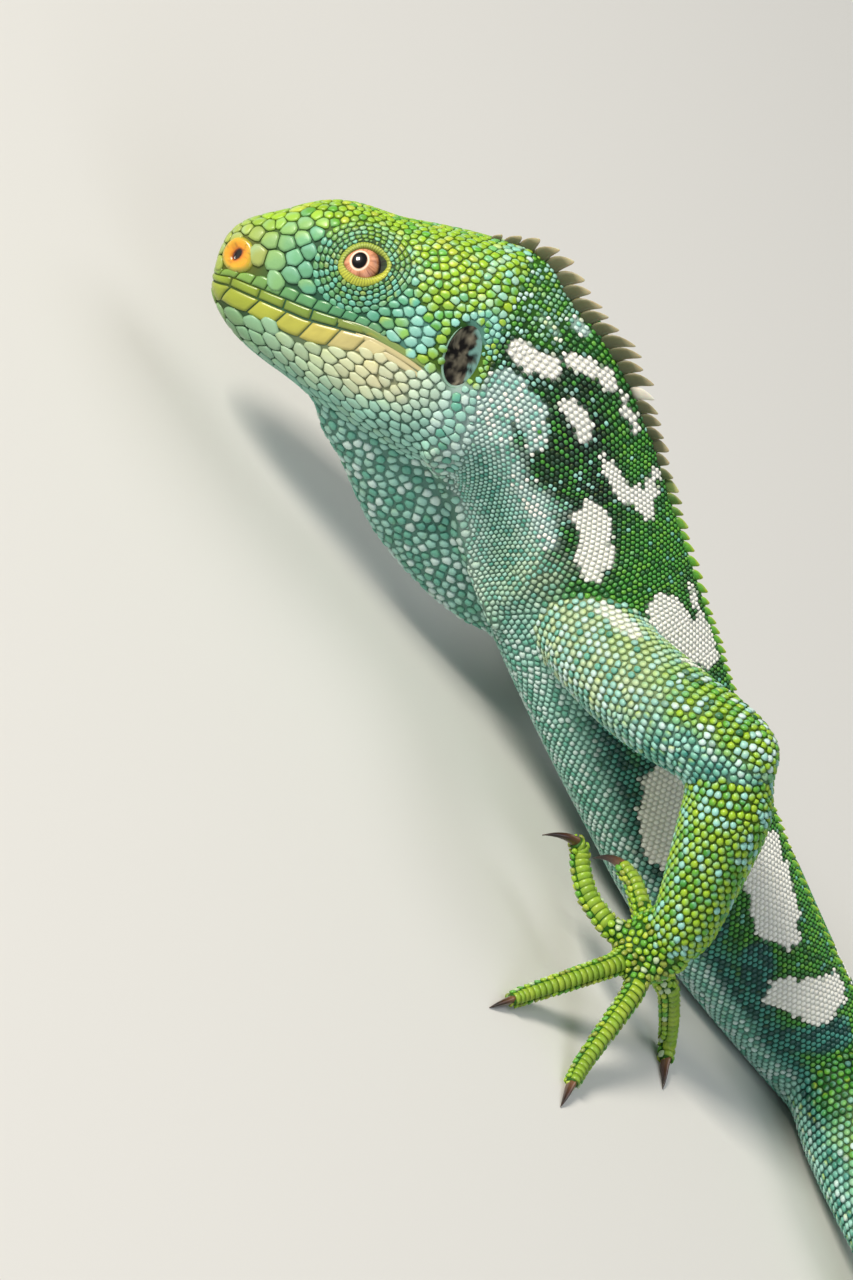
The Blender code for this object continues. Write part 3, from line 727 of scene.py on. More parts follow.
# Size of a scale at places on the head: back, right, up, then its length and width.
HEAD_SCALES = (
    (3, 2, 13, 2.4, 2.2), (10, 3, 16.5, 2.8, 2.4), (18, 3, 21.5, 2, 1.8), (28, 3, 22.8, 1.8, 1.6),
    (28, 8, 21, 1.3, 1.2), (40, 4, 24, 1.8, 1.6), (52, 4, 26, 1.6, 1.4), (50, 10, 20, 1.7, 1.5),
    (40, 10, 17, 1.8, 1.5), (10, 7, 7, 4.2, 3.6), (15, 8.5, 11, 3.2, 2.8), (19, 9.5, 8, 3, 2.6),
    (27, 11.5, 7.5, 1.7, 1.4), (28, 12, 3.5, 3.2, 2.2), (21, 10.5, 5, 3.4, 2.4), (36, 13, 6, 2.6, 1.8),
    (38, 12.5, 12, 1.9, 1.6), (44, 14, 4, 2.2, 1.8), (47, 13.5, -4, 1.9, 1.7), (53, 14, 6, 1.1, 1.1),
    (7, 4.5, -7, 4.6, 3.4), (14, 7, -7.5, 4.2, 2.6), (22, 9.5, -7.5, 3.6, 1.9), (32, 12, -6.5, 3.2, 1.7),
    (40, 13.5, -6.5, 2.6, 1.6), (20, 6, -11, 3, 1.7), (32, 9, -13, 2.8, 1.6), (45, 13, -12, 2.2, 1.7),
    (10, 2, -9, 2.4, 1.8), (25, 2, -14.5, 2.2, 1.6), (45, 5, -19, 2, 1.6),
)
SCALE_BLEND = 3.2  # how far one of those sizes carries, in millimetres
MOUTH = ((0, -0.6), (3.3, 0.3), (10, 0.3), (20, 0.3), (30, 1.6), (33, 1.9), (37, 1.5), (41, 0.8), (45, 0.4))
# Heights above or below the mouth line at distances back: the thin lip, the plates over it, the lower lip.
LIP_TOP = ((0, 1.3), (5, 1.8), (20, 2.2), (28, 1.8), (35, 1), (40, 0.6))
PLATES_TOP = ((0, 2.6), (4, 3), (9.6, 4.2), (20, 4.3), (27, 3.7), (34, 2.4), (37, 1.5), (40, 0.8))
LOWER_LIP = (
    (0, -3.3), (6, -3.4), (14, -3.5), (20, -3.9), (26, -4), (31, -3.5), (36, -2.6), (40, -2.1), (45, -1.8),
)
SNOUT_PIVOT = 7  # how far back the lips' curve round the snout has its middle
MOUTH_END = 44
EYE_RINGS = 5  # rings of small scales round each eye
EYE_STEPS = 400
PLATE_TRIES = 60000  # places tried for the head's plates, of which those that are clear of the others stay
PLATE_CROWDING = 0.72  # how near two of them may come, as a share of their size, squared
EYE_RING_GAP = 0.76


def along_table(table, places):
    xs, ys = zip(*table)
    return np.interp(places, xs, ys)


def head_sizes(head):
    """Length and width of the scales at places of the head's frame, blended between the named ones."""
    table = np.array(HEAD_SCALES, float)
    folded = np.column_stack([head[:, 0], np.abs(head[:, 1]), head[:, 2]])
    away = norms(folded[:, None] - table[None, :, :3])
    away = away - away.min(axis=1, keepdims=True)
    weight = np.exp(-((away / SCALE_BLEND) ** 2))
    weight /= weight.sum(axis=1, keepdims=True)
    return weight @ table[:, 3], weight @ table[:, 4]


def from_opening(head, side):
    """How far places of the head lie outside an eye's opening."""
    middle, out, long, short = eye_frame(side)
    away = head - middle
    x, y = away @ long, away @ short
    outside = np.hypot(x, y) - opening_reach(np.arctan2(y, x))
    return np.where(away @ out > 0, outside, 99.0)


def left_bare(head):
    """Which places of the head carry no ordinary scale: eyes, nostrils, ears and lips."""
    bare = np.zeros(len(head), bool)
    for side in (-1, 1):
        bare |= (np.sign(head[:, 1]) == side) & (from_opening(head, side) < 1.6)
        bare |= (from_nostril(head, side) < 2.9) | (from_ear(head, side) < 1.12)
    over = head[:, 2] - along_table(MOUTH, head[:, 0])
    lips = (over < along_table(PLATES_TOP, head[:, 0])) & (over > along_table(LOWER_LIP, head[:, 0]))
    return bare | (lips & (head[:, 0] < MOUTH_END))


def lie_on_head(head, out):
    """The way that the head's scales point, in the animal's frame: back, falling under the jaw."""
    falling = np.clip((-4 - head[:, 2]) / 4, 0, 1) * 0.42 + np.where(np.abs(head[:, 2]) < 6, 0.15, 0)
    way = np.column_stack([np.ones(len(head)), np.zeros(len(head)), -falling]) @ HEAD_AXES.T
    return flattened(way, out)


BARE = -1  # the owner of places that only keep the scales off the lips, nostrils and ears


def bare_seeds(coat, middles, out, owners):
    """Places in the head's bare parts, which bound the cells beside them but carry no scale."""
    head = to_head(middles)
    wanted = np.flatnonzero((owners <= JAW) & left_bare(head))
    wanted = np.random.default_rng(SEED).permutation(wanted)
    kept = wanted[thinned(middles[wanted], np.full(len(wanted), 0.95))]
    coat.add(middles[kept], out[kept], lie_on_head(head[kept], out[kept]), 1.1, 1.1, BARE, True)


def head_seeds(skin, middles, owners):
    """Places of the head's scales: rings round each eye, then plates and grains, alike on both sides."""
    seeds = Coat()
    middle, eye_out, eye_long, eye_short = eye_frame(-1)
    angles = round_turn(EYE_STEPS)
    for ring in range(EYE_RINGS):
        waves = 0.16 * np.sin(3 * angles + 1) + 0.12 * np.sin(5 * angles + 0.5 * ring)
        ring_gap = EYE_RING_GAP * (1 + 0.05 * ring)
        reach = opening_reach(angles) + lid_width(angles) + 0.25 + EYE_RING_GAP * ring * (1 + 0.05 * ring)
        reach += waves * ring / EYE_RINGS
        flat = np.column_stack([reach * np.cos(angles), reach * np.sin(angles)])
        steps = norms(np.diff(np.vstack([flat, flat[:1]]), axis=0))
        gap = 1.05 + 0.13 * ring
        flat = flat[evenly_round(steps / gap, ring)[0]]
        starts = middle + flat[:, :1] * eye_long + flat[:, 1:] * eye_short + eye_out * 15
        hits = skin.cast(from_head(starts), HEAD_AXES @ -eye_out, 24)
        good = np.isfinite(hits[:, 0])
        turn = np.arctan2(flat[:, 1], flat[:, 0])
        tangent = spokes_of(turn, eye_short, -eye_long)
        seeds.add(hits[good], hits[good], (tangent @ HEAD_AXES.T)[good], gap, ring_gap, 0, True)
    tree = tree_of(seeds.joined()[0])
    head = to_head(middles)
    mine = (owners <= JAW) & (head[:, 1] < 0.2) & ~left_bare(head)
    mine &= np.array([tree.find(Vector(p))[2] > 1.0 for p in middles])
    chosen = np.flatnonzero(mine)
    rng = np.random.default_rng(SEED)
    pool = rng.choice(chosen, PLATE_TRIES)
    jitter = rng.uniform(-0.4, 0.4, (len(pool), 3))
    pool_places, pool_out = skin.nearest(middles[pool] + jitter)
    pool_head = to_head(pool_places)
    pool_long, pool_wide = head_sizes(pool_head)
    pool_along = lie_on_head(pool_head, pool_out)
    across = np.cross(pool_out, pool_along)
    kept, buckets, cell = [], {}, 5.0
    for index in range(len(pool)):
        place = pool_places[index]
        key = tuple((place // cell).astype(int))
        near = [i for dx in (-1, 0, 1) for dy in (-1, 0, 1) for dz in (-1, 0, 1)
                for i in buckets.get((key[0] + dx, key[1] + dy, key[2] + dz), ())]
        if near:
            gap = pool_places[near] - place
            a = gap @ pool_along[index] / ((pool_long[near] + pool_long[index]) / 2)
            b = gap @ across[index] / ((pool_wide[near] + pool_wide[index]) / 2)
            c = gap @ pool_out[index] / pool_wide[index]
            if (a * a + b * b + c * c).min() < PLATE_CROWDING:
                continue
        kept.append(index)
        buckets.setdefault(key, []).append(index)
    found = pool_places[kept]
    found_head = to_head(found)
    central = np.abs(found_head[:, 1]) < 0.35 * pool_wide[kept]
    found_head[central, 1] = 0
    crowded = (np.abs(found_head[:, 1]) < 0.5 * pool_wide[kept]) & ~central
    found_head, kept = found_head[~crowded], np.array(kept)[~crowded]
    found = from_head(found_head)
    seeds.add(found, found, pool_along[kept], pool_long[kept], pool_wide[kept], 0, False)
    places, _, along, long, wide, _, fixed = seeds.joined()
    places, _ = spread(skin, places, along, long, wide, 5, fixed)
    head, ways = to_head(places), along @ HEAD_AXES
    paired = np.abs(head[:, 1]) > 0.05
    flip = np.array((1, -1, 1))
    head, ways = (np.concatenate([a, a[paired] * flip]) for a in (head, ways))
    long, wide, fixed = (np.concatenate([a, a[paired]]) for a in (long, wide, fixed))
    along = ways @ HEAD_AXES.T
    places, out = skin.nearest(from_head(head))
    places, out = settled(skin, places, out, along, long, wide, 4, fixed)
    kept = fixed | ~left_bare(to_head(places))
    return [a[kept] for a in (places, out, flattened(along, out), long, wide)]


# ---- markings

PALETTE = {
    "dark": "#0F3A1C", "forest": "#1F6526", "green": "#3E9329", "leaf": "#5FA82B", "lime": "#93BE22",
    "lemon": "#B4C93A", "turquoise": "#93D2C4", "teal": "#3A8E80", "sea": "#64AE98", "deep": "#104B47",
    "white": "#F8F8F0", "pale": "#C8E2DC", "mint": "#9BCFC0", "willow": "#BCD2A6",
    "olive": "#8F9F39", "moss": "#57882E", "gold": "#E8BE4A",
}
COLOUR = {name: srgb(text) for name, text in PALETTE.items()}

# White markings of the neck and trunk, as lines with a width at each corner.
WHITE_MARKS = (
    ((-42, -13.3, 61, 2.2), (-37.8, -12.9, 62.2, 2.4), (-34.4, -11.6, 63.4, 2.2)),
    ((-32.5, -8.9, 67, 1.9), (-29.4, -7.2, 68.3, 2), (-25.2, -5.3, 68.6, 1.7), (-20.1, -3.5, 68.1, 1.1),
     (-14.7, -3.2, 65.9, 0.9)),
    ((-26.1, -11.7, 61.8, 1.9), (-20.6, -11.2, 60.3, 1.8)),
    ((-14.6, -9.7, 60.3, 1), (-9.7, -9.3, 58.6, 1.3), (-6, -8.3, 58.3, 1.7), (-2.7, -7.1, 58.4, 2.3),
     (0.2, -5.7, 58.6, 2), (-1.7, -3.4, 60.8, 1.4), (-3.4, -1.2, 62.2, 1.1)),
    ((-7, -12.8, 50.8, 2.6), (-3, -12.5, 50, 3.6), (0.5, -13, 47.5, 3.6), (2.5, -13.8, 45.6, 2.8)),
    ((19.5, -9, 48.5, 4.2), (25.5, -7, 49, 4.4), (31, -4.5, 49, 3.8)),
    ((16, -1.5, 53.5, 1.2), (34, -2, 49, 1.8)),
    ((46, -17, 31, 4.4), (57, -18.5, 22, 5.2)),
    ((62, -9, 37, 4), (74, -8.5, 33, 6.4), (84, -10.5, 28.5, 6.2), (89, -10, 26.8, 3.4)),
    ((98, -14.5, 19.5, 3.6), (105, -9.5, 23, 4.6), (106.5, -5, 25.6, 3.2)),
    ((120.5, -9, 17.5, 2.6), (123, -6, 21, 3.4), (124, -1, 24, 2.6)),
)
HOARY_MARKS = (
    ((-39, -16.3, 57, 2.6), (-34.6, -16.1, 55.5, 3.6), (-29.6, -15.6, 55.1, 3.6), (-25.8, -15.2, 54, 2.8)),
    ((-37, -17.4, 52, 3), (-31, -17, 50, 2.6)),
    ((-21.8, -15.9, 45.6, 1.8), (-16.8, -15.1, 44.6, 2.4), (-10.1, -14.5, 43.2, 2.4), (-6.5, -14.4, 42, 2)),
    ((-42.8, -8.2, 67.5, 1), (-39.7, -8.3, 67.8, 1.4)),
    ((-38.7, -4.5, 70.6, 1.4), (-35, -4, 70.6, 1)),
    ((9, -17, 44.5, 2.2), (15, -22, 46.5, 2.6)),
    ((27, -25, 53, 1.6), (22, -28, 49, 2.4)),
)
TEAL_MARKS = (
    ((40, -17, 34, 4.2), (46.6, -17.7, 27, 3)),
    ((64, -18.8, 22, 4.5), (76, -17.5, 18, 4.2)),
    ((88, -16, 21, 3.4), (95, -14.5, 16, 4.2)),
    ((108, -13, 15, 3.4), (114, -9, 21, 3.4)),
)


def marked(points, marks, ragged):
    """How far inside one of the marks each point lies, in millimetres; negative outside."""
    best = np.full(len(points), -99.0)
    for mark in marks:
        for start, end, share, away in stretches(points, mark):
            best = np.maximum(best, start[3] + share * (end[3] - start[3]) - away)
    return best + ragged


def drawn(draw, *options):
    """Each scale's colour by its own draw from (share, colour name) options; a share may vary by scale."""
    shares = np.stack([np.broadcast_to(np.asarray(share, float), draw.shape) for share, _ in options])
    shares = np.maximum(shares, 0)
    limits = np.cumsum(shares, axis=0) / shares.sum(axis=0)
    index = np.minimum((draw[None] > limits).sum(axis=0), len(options) - 1)
    return np.array([COLOUR[name] for _, name in options])[index]


def step_up(value, low, high):
    share = np.clip((value - low) / (high - low), 0, 1)
    return share * share * (3 - 2 * share)


def blended(under, over, share):
    return under + (over - under) * share[:, None]


SNOUT_SHADES = ((0, "#93B04C"), (9, "#86B468"), (16, "#6FAE80"), (24, "#58A387"), (36, "#5DAA8C"))
JAW_SHADES = (
    (0, "#86A85C"), (7, "#7BA87C"), (16, "#94BC98"), (26, "#BCCBA4"), (36, "#D5D3A8"), (44, "#BFD2B8"),
    (52, "#A9CFC0"),
)
UNDER_SHADES = ((0, "#5E9A80"), (20, "#6FAE98"), (34, "#8CC0AC"), (50, "#8FC4B4"))


def shaded(table, place):
    """Colours at many places along a table of places and hex colours."""
    colours = np.array([srgb(row[1]) for row in table])
    return np.column_stack([np.interp(place, [row[0] for row in table], colours[:, i]) for i in range(3)])


def paint_head(points, folded, draw):
    """Lime crown, teal snout and cheeks, cream mouth corners, and pale sea-green under the jaw."""
    head = to_head(points)
    back, up = head[:, 0], head[:, 2]
    cloud = noise_of(points, 5, 1)
    over = up - along_table(MOUTH, back)
    colour = shaded(SNOUT_SHADES, back + 3 * cloud)
    tone = np.clip(0.5 + 0.9 * cloud, 0, 1)
    temple = drawn(draw, (0.25 + tone, "lime"), (0.3, "leaf"), (1.3 - tone, "turquoise"), (0.2, "sea"))
    colour = blended(colour, temple, step_up(back + 3 * cloud - 0.25 * (up - 4), 31, 40) * 0.85)
    green = drawn(draw, (0.7, "lime"), (0.18, "lemon"), (0.12, "leaf"))
    nape = drawn(draw, (0.4, "lime"), (0.25, "leaf"), (0.2, "mint"), (0.15, "turquoise"))
    top = blended(green, nape, step_up(back + 4 * cloud, 44, 54) * 0.8)
    edge = np.interp(back, [0, 8, 16, 28, 40, 54], [11, 13.5, 17, 18.5, 15, 13])
    colour = blended(colour, top, step_up(up + 1.5 * cloud - edge, -1.5, 2.5))
    ring = np.minimum(from_opening(head, -1), from_opening(head, 1))
    for side in (-1, 1):
        colour = blended(colour, COLOUR["gold"], 0.45 * hill(from_nostril(head, side, 1), 4.5))
    lids = drawn(draw, (0.5, "moss"), (0.35, "sea"), (0.15, "olive"))
    colour = blended(colour, lids, (1 - step_up(ring, 3.5, 7.5)) * 0.7)
    jaw = shaded(JAW_SHADES, back + 3 * cloud)
    under = shaded(UNDER_SHADES, back)
    jaw = blended(jaw, under, step_up(-over + 2 * cloud, 8, 14))
    rear = step_up(back + 2 * cloud, 49, 53) * step_up(-up + 0.5, -3, 3)
    jaw = blended(jaw, drawn(draw, (0.4, "pale"), (0.4, "mint"), (0.2, "sea")), rear)
    colour = blended(colour, jaw, step_up(-over, -0.5, 1.0))
    return colour * (0.88 + 0.24 * ((draw * 7.13) % 1.0))[:, None]


def paint_neck(points, folded, draw):
    """Dark green neck and back with turquoise flecks and white marks, paler and bluer below."""
    x, _, z = folded.T
    spine_z = np.interp(x, [-40, -26, -14, -3, 22, 56, 93, 140], [74, 72, 66, 61, 51, 40, 28, 20])
    line_z = line_height(x)
    height = (z - line_z) / (spine_z - line_z)
    cloud = noise_of(points, 5, 2)
    fleck = noise_of(points, 2.2, 3)
    front = 1 - step_up(x, -8, 10)
    flecked = np.clip(0.3 - 0.3 * height + 0.35 * cloud + 0.5 * step_up(-x, 24, 42), 0.04, 0.8)
    dark = np.clip(0.75 + 0.5 * cloud - 0.6 * step_up(-x, 28, 44), 0.1, 1.2)
    colour = drawn(draw, (dark, "dark"), (0.5, "forest"), (0.45 + 0.3 * fleck, "green"),
                   (flecked, "turquoise"), (0.3 * flecked, "mint"))
    back = drawn(draw, (0.35, "forest"), (0.7, "green"), (0.25, "leaf"), (0.06, "turquoise"))
    colour = blended(colour, back, step_up(height, 0.7, 0.92))
    rear = drawn(draw, (0.3, "forest"), (0.8, "green"), (0.35, "leaf"), (0.1, "sea"))
    deep = drawn(draw, (0.6, "teal"), (0.4, "deep"))
    rear = blended(rear, deep, step_up(0.25 - height + 0.15 * cloud, 0, 0.35))
    colour = blended(colour, rear, 1 - front)
    shoulder = drawn(draw, (0.55, "pale"), (0.2, "turquoise"), (0.15, "mint"), (0.1, "sea"))
    # Painted shade: sea, mint and teal in the hollow between the folds of the throat and shoulder.
    hollow = hill(distance_to_line(folded, BESIDE_FOLDS)[0], 5.0)
    shoulder = blended(shoulder, drawn(draw, (0.4, "sea"), (0.4, "mint"), (0.2, "teal")), 0.8 * hollow)
    chest = drawn(draw, (0.6, "willow"), (0.2, "mint"), (0.2, "sea"))
    chest_share = hill(norms(folded - (4, -14, 34)), 12)
    shoulder = blended(shoulder, chest, np.maximum(step_up(x + 4 * cloud, -2, 10) * 0.8, chest_share))
    low = step_up(0.28 - height + 0.2 * cloud, 0, 0.3) * front
    colour = blended(colour, shoulder, low)
    belly = drawn(draw, (0.5, "mint"), (0.3, "pale"), (0.2, "sea"))
    under = step_up(-height - 0.15 + 0.1 * cloud, 0, 0.3)
    colour = blended(colour, belly, under * (1 - front))
    gap = marked(folded, TEAL_MARKS, 1.2 * cloud)
    colour = blended(colour, deep, step_up(gap, -0.6, 0.6))
    hoary = marked(folded, HOARY_MARKS, 1.3 * fleck + 1.4 * (draw - 0.5))
    grey = drawn(draw, (0.55, "pale"), (0.25, "white"), (0.2, "turquoise"))
    colour = blended(colour, grey, step_up(hoary, -0.2, 0.2) * (draw < 0.9))
    behind = to_head(folded)[:, 0]
    nape = drawn(draw, (0.28, "mint"), (0.3, "leaf"), (0.14, "lime"), (0.14, "pale"), (0.2, "forest"))
    collar = (1 - step_up(behind + 3.0 * cloud, 58, 70)) * step_up(height, 0.45, 0.75)
    colour = blended(colour, nape, collar * 0.9)
    white = marked(folded, WHITE_MARKS, 1.3 * fleck + 1.1 * (draw - 0.5))
    ground = blended(colour, drawn(draw, (0.8, "dark"), (0.2, "deep")), 0.5 * step_up(white, -1.6, -0.4))
    return blended(ground, COLOUR["white"], step_up(white, -0.15, 0.15))


def throat_ridge(points):
    """How strongly each point belongs to the beaded fold beside the throat."""
    left, right = (distance_to_line(points, mirrored(GULAR_RIDGE, side))[0] for side in (-1, 1))
    return hill(np.minimum(left, right), 1.3)


def paint_throat(points, folded, draw):
    colour = drawn(draw, (0.4, "mint"), (0.35, "sea"), (0.25, "pale"))
    shade = step_up(noise_of(points, 7, 4), 0.1, 0.8)
    return blended(colour, COLOUR["teal"], 0.45 * shade)


def paint_tail(points, folded, draw):
    """Green tail with narrow pale bands, each edged in dark teal."""
    along = points[:, 0] - 140
    cloud = noise_of(points, 6, 5)
    phase = (along + 3.0 * cloud) % 46.0
    band = step_up(6.5 - np.abs(phase - 30), -0.8, 0.8)
    edge = step_up(10.0 - np.abs(phase - 30), -1, 1)
    green = drawn(draw, (0.3, "forest"), (0.6, "green"), (0.35, "leaf"), (0.1, "sea"))
    colour = blended(green, drawn(draw, (0.6, "teal"), (0.4, "deep")), edge)
    pale = drawn(draw, (0.5, "pale"), (0.3, "mint"), (0.2, "white"))
    colour = blended(colour, pale, band)
    return blended(colour, COLOUR["moss"], step_up(along, 240, 400) * 0.6)


def paint_upper_arm(points, folded, draw):
    """Pale at the shoulder, teal below, and yellow-green on top towards the elbow."""
    cloud = noise_of(points, 4, 6)
    outwards = step_up(points[:, 0] + 4 * cloud, 18, 32)
    top = step_up(folded[:, 2] - np.interp(points[:, 0], [9, 42], [41, 54]) + 2.5 * cloud, -1.5, 3.5)
    pale = drawn(draw, (0.4, "willow"), (0.25, "pale"), (0.2, "mint"), (0.15, "sea"))
    return upper_limb(points, folded, draw, pale, outwards, top * (0.35 + 0.65 * outwards))


def paint_thigh(points, folded, draw):
    """The trunk's markings at the root, teal below, and yellow-green on top towards the knee."""
    cloud = noise_of(points, 4, 6)
    outwards = step_up(np.abs(points[:, 1]) + 6 * cloud, 14, 32)
    top = step_up(points[:, 2] - 14 + 2.5 * cloud, -2, 3)
    return upper_limb(points, folded, draw, paint_neck(points, folded, draw), outwards, top * outwards)


def upper_limb(points, folded, draw, root, outwards, top):
    """A limb's root colour, turning to its under and upper colours by their shares."""
    under = drawn(draw, (0.3, "sea"), (0.22, "mint"), (0.2, "turquoise"), (0.16, "teal"), (0.12, "pale"))
    upper = drawn(draw, (0.46, "lime"), (0.24, "leaf"), (0.12, "mint"), (0.12, "pale"), (0.06, "forest"))
    colour = blended(blended(root, under, outwards), upper, top)
    white = marked(folded, HOARY_MARKS, 1.0 * noise_of(points, 2, 3))
    return blended(colour, COLOUR["white"], 0.8 * step_up(white, -0.2, 0.3))


def paint_lower_limb(points, folded, draw):
    fleck = noise_of(points, 3, 7)
    return drawn(draw, (0.5, "lime"), (0.3, "leaf"), (0.12 + 0.15 * fleck, "turquoise"),
                 (0.08 + 0.06 * fleck, "mint"), (0.06, "green"))


def paint_hand(points, folded, draw):
    return drawn(draw, (0.4, "lime"), (0.2, "leaf"), (0.16, "olive"), (0.14, "lemon"), (0.1, "willow"))


# The first of these parts of a node's name that fits says what paints it.
BRUSHES = (
    ("head", paint_head), ("jaw", paint_head), ("throat", paint_throat), ("neck", paint_neck),
    ("trunk", paint_neck), ("tail", paint_tail), ("hand", paint_hand), ("foot", paint_hand),
    ("lower", paint_lower_limb), ("fore", paint_upper_arm), ("hind", paint_thigh),
)


def painted(points, owners, draw):
    """The colour of the coat at places that belong to the solids' nodes."""
    folded = points.copy()
    folded[:, 1] = -np.abs(points[:, 1])
    right = points[:, 1] > 0
    folded[right, 0] += 2.5 * np.sin(points[right, 0] / 11.0)
    colour = np.zeros((len(points), 3))
    for number, name in enumerate(FLESH):
        mine = owners == number
        if mine.any():
            brush = next(brush for part, brush in BRUSHES if part in name)
            colour[mine] = brush(points[mine], folded[mine], draw[mine])
    near = (points[:, 0] > -42) & (points[:, 0] < 8) & (points[:, 2] > 14) & (points[:, 2] < 42)
    colour[near] = blended(colour[near], COLOUR["willow"], 0.8 * throat_ridge(points[near]))
    return colour


# ---- the coat of scales


class Coat:
    """Every scale's place, its ways out of the skin and along it, its size, its node and if it stays put."""

    def __init__(self):
        self.rows = []

    def add(self, places, out, along, *rest):
        self.rows.append((places, out, along, *(np.broadcast_to(value, len(places)) for value in rest)))

    def joined(self):
        return [np.concatenate(column) for column in zip(*self.rows)]


def body_gap(middles):
    """Spacing of the scales round the body: finest above, wider under the belly."""
    x, _, z = middles.T
    low = np.clip((line_height(x) - z + 2) / 10, 0, 1) * step_up(x, -10, 6)
    shoulder = norms(np.column_stack([x - 4, np.abs(middles[:, 1]) - 14, z - 34]))
    return np.maximum(1.04 + 0.22 * step_up(x, 10, 60) + 0.7 * low, 1.04 + 0.85 * hill(shoulder, 12))


def add_rings(coat, skin, flesh, line, step, width, reach, rays, nodes, squat=None):
    """Adds rings of scales round a line, where the skin belongs to the nodes; squat is length over width."""
    places, along = ring_seeds(skin, line, step, width, reach, rays)
    owner = owners_at(places, flesh)
    mine = np.isin(owner, nodes)
    places, out = skin.nearest(places[mine])
    wide = width(places)
    coat.add(places, out, along[mine], step if squat is None else wide * squat, wide, owner[mine], False)


def body_seeds(coat, skin, flesh):
    add_rings(coat, skin, flesh, BODY_LINE, 0.98, body_gap, lambda row: 60, 128, BODY, 0.92)
    line = np.array(tail_line())
    width = lambda middles: 0.42 + 0.125 * np.interp(middles[:, 0], line[:, 0], line[:, 3])
    for start, end, step in ((0, 14, 1.9), (13, 30, 1.7), (29, 45, 1.45), (44, 60, 1.2)):
        add_rings(coat, skin, flesh, line[start : end + 1], step, width, lambda row: 1.6 * row[3] + 2, 48,
                  range(TAIL, LIMBS))


LIMB_SCALES = {"upper": (1.6, 1.5), "lower": (1.65, 1.6)}  # length and width of the scales


def limb_seeds(coat, skin, flesh):
    for limb, lines in LIMB_LINES.items():
        for part, line in zip(LIMB_SCALES, lines):
            length, width = LIMB_SCALES[part]
            same = lambda middles, width=width: np.full(len(middles), width)
            node = FLESH.index(f"{limb}_{part}")
            add_rings(coat, skin, flesh, line, length, same, lambda row: 16, 72, node)


def digit_seeds(coat, skin, flesh):
    """Rows of small scales beside and below the digits."""
    for name, digits in DIGITS.items():
        number = FLESH.index(name)
        for path, _ in digits:
            for row, way, up, side in zip(*digit_rows(path)):
                spokes, sizes = [], []
                for turn, wide in ((88, 1.2), (118, 1.3), (150, 1.4), (180, 1.4)):
                    for sign in ((1,) if turn == 180 else (1, -1)):
                        angle = sign * math.radians(turn)
                        spokes.append(math.cos(angle) * up + math.sin(angle) * side)
                        sizes.append(wide)
                hits = skin.cast(row, np.array(spokes), 4.5)
                good = np.isfinite(hits[:, 0])
                if good.any():
                    found, out = skin.nearest(hits[good])
                    mine = owners_at(found, flesh) == number
                    ahead = np.repeat(way[None], mine.sum(), 0)
                    sizes_here = np.array(sizes)[good][mine]
                    coat.add(found[mine], out[mine], ahead, SCUTE_LENGTH, sizes_here, number, False)


def ridge_seeds(coat, skin, flesh):
    """The row of larger beads along the fold at each side of the throat."""
    for side in (-1, 1):
        line = smooth_line(mirrored(GULAR_RIDGE, side), 1.8)
        places, out = skin.nearest(line)
        coat.add(places, out, flattened(np.gradient(line, axis=0), out), 1.8, 2.2,
                 owners_at(places, flesh), True)


def all_seeds(skin):
    """Seeds over the whole skin, thinned where rows meet and filled where none came."""
    flesh = flesh_trees()
    middles = skin.points[skin.faces].mean(axis=1)
    _, middle_out = skin.nearest(middles)
    middle_owner = owners_at(middles, flesh)
    coat = Coat()
    coat.add(*head_seeds(skin, middles, middle_owner), 0, True)
    bare_seeds(coat, middles, middle_out, middle_owner)
    ridge_seeds(coat, skin, flesh)
    digit_seeds(coat, skin, flesh)
    limb_seeds(coat, skin, flesh)
    body_seeds(coat, skin, flesh)
    places, out, along, long, wide, owner, fixed = coat.joined()
    size = np.sqrt(long * wide)
    jitter = np.random.default_rng(SEED + 2).uniform(-0.07, 0.07, places.shape)
    places = places + np.where(fixed[:, None], 0, jitter * size[:, None])
    kept = (thinned(places, 0.6 * size) & ~on_digit_top(places)) | fixed
    kept &= (owner != BARE) | thinned(places, np.where(owner == 0, 0.4 * size, 0))
    rows = [a[kept] for a in (places, out, along, long, wide, owner, fixed)]
    head = to_head(middles)
    bare = (middle_owner <= JAW) & left_bare(head)
    fill_size = np.full(len(middles), 1.3)
    fill_size[middle_owner == THROAT] = 1.9
    on_body = np.isin(middle_owner, BODY)
    fill_size[on_body] = body_gap(middles[on_body])
    on_head = middle_owner <= JAW
    fill_size[on_head] = np.sqrt(np.prod(head_sizes(head[on_head]), axis=0))
    usable = np.flatnonzero(~bare & (middles[:, 2] > 0.3) & ~on_digit_top(middles))
    filler = usable[gaps_filled(rows[0], middles[usable], fill_size[usable])]
    ahead = np.where(middle_owner[filler, None] == THROAT, (0.8, 0.0, -0.6), (1.0, 0.0, 0.0))
    more = (middles[filler], middle_out[filler], ahead, fill_size[filler], fill_size[filler],
            middle_owner[filler], np.zeros(len(filler), bool))
    places, out, along, long, wide, owner, fixed = (np.concatenate(pair) for pair in zip(rows, more))
    places, out = spread(skin, places, flattened(along, out), long, wide, 2, fixed)
    places, out = settled(skin, places, out, along, long, wide, 1, fixed)
    loose = (owner == THROAT) & ~fixed
    places, out = settled(skin, places, out, along, long, wide, 2, ~loose)
    owner = np.where((owner >= 0) & (owner <= JAW), owners_at(places, flesh), owner)
    return places, out, flattened(along, out), long, wide, owner


GRANULE_SIDES = 8


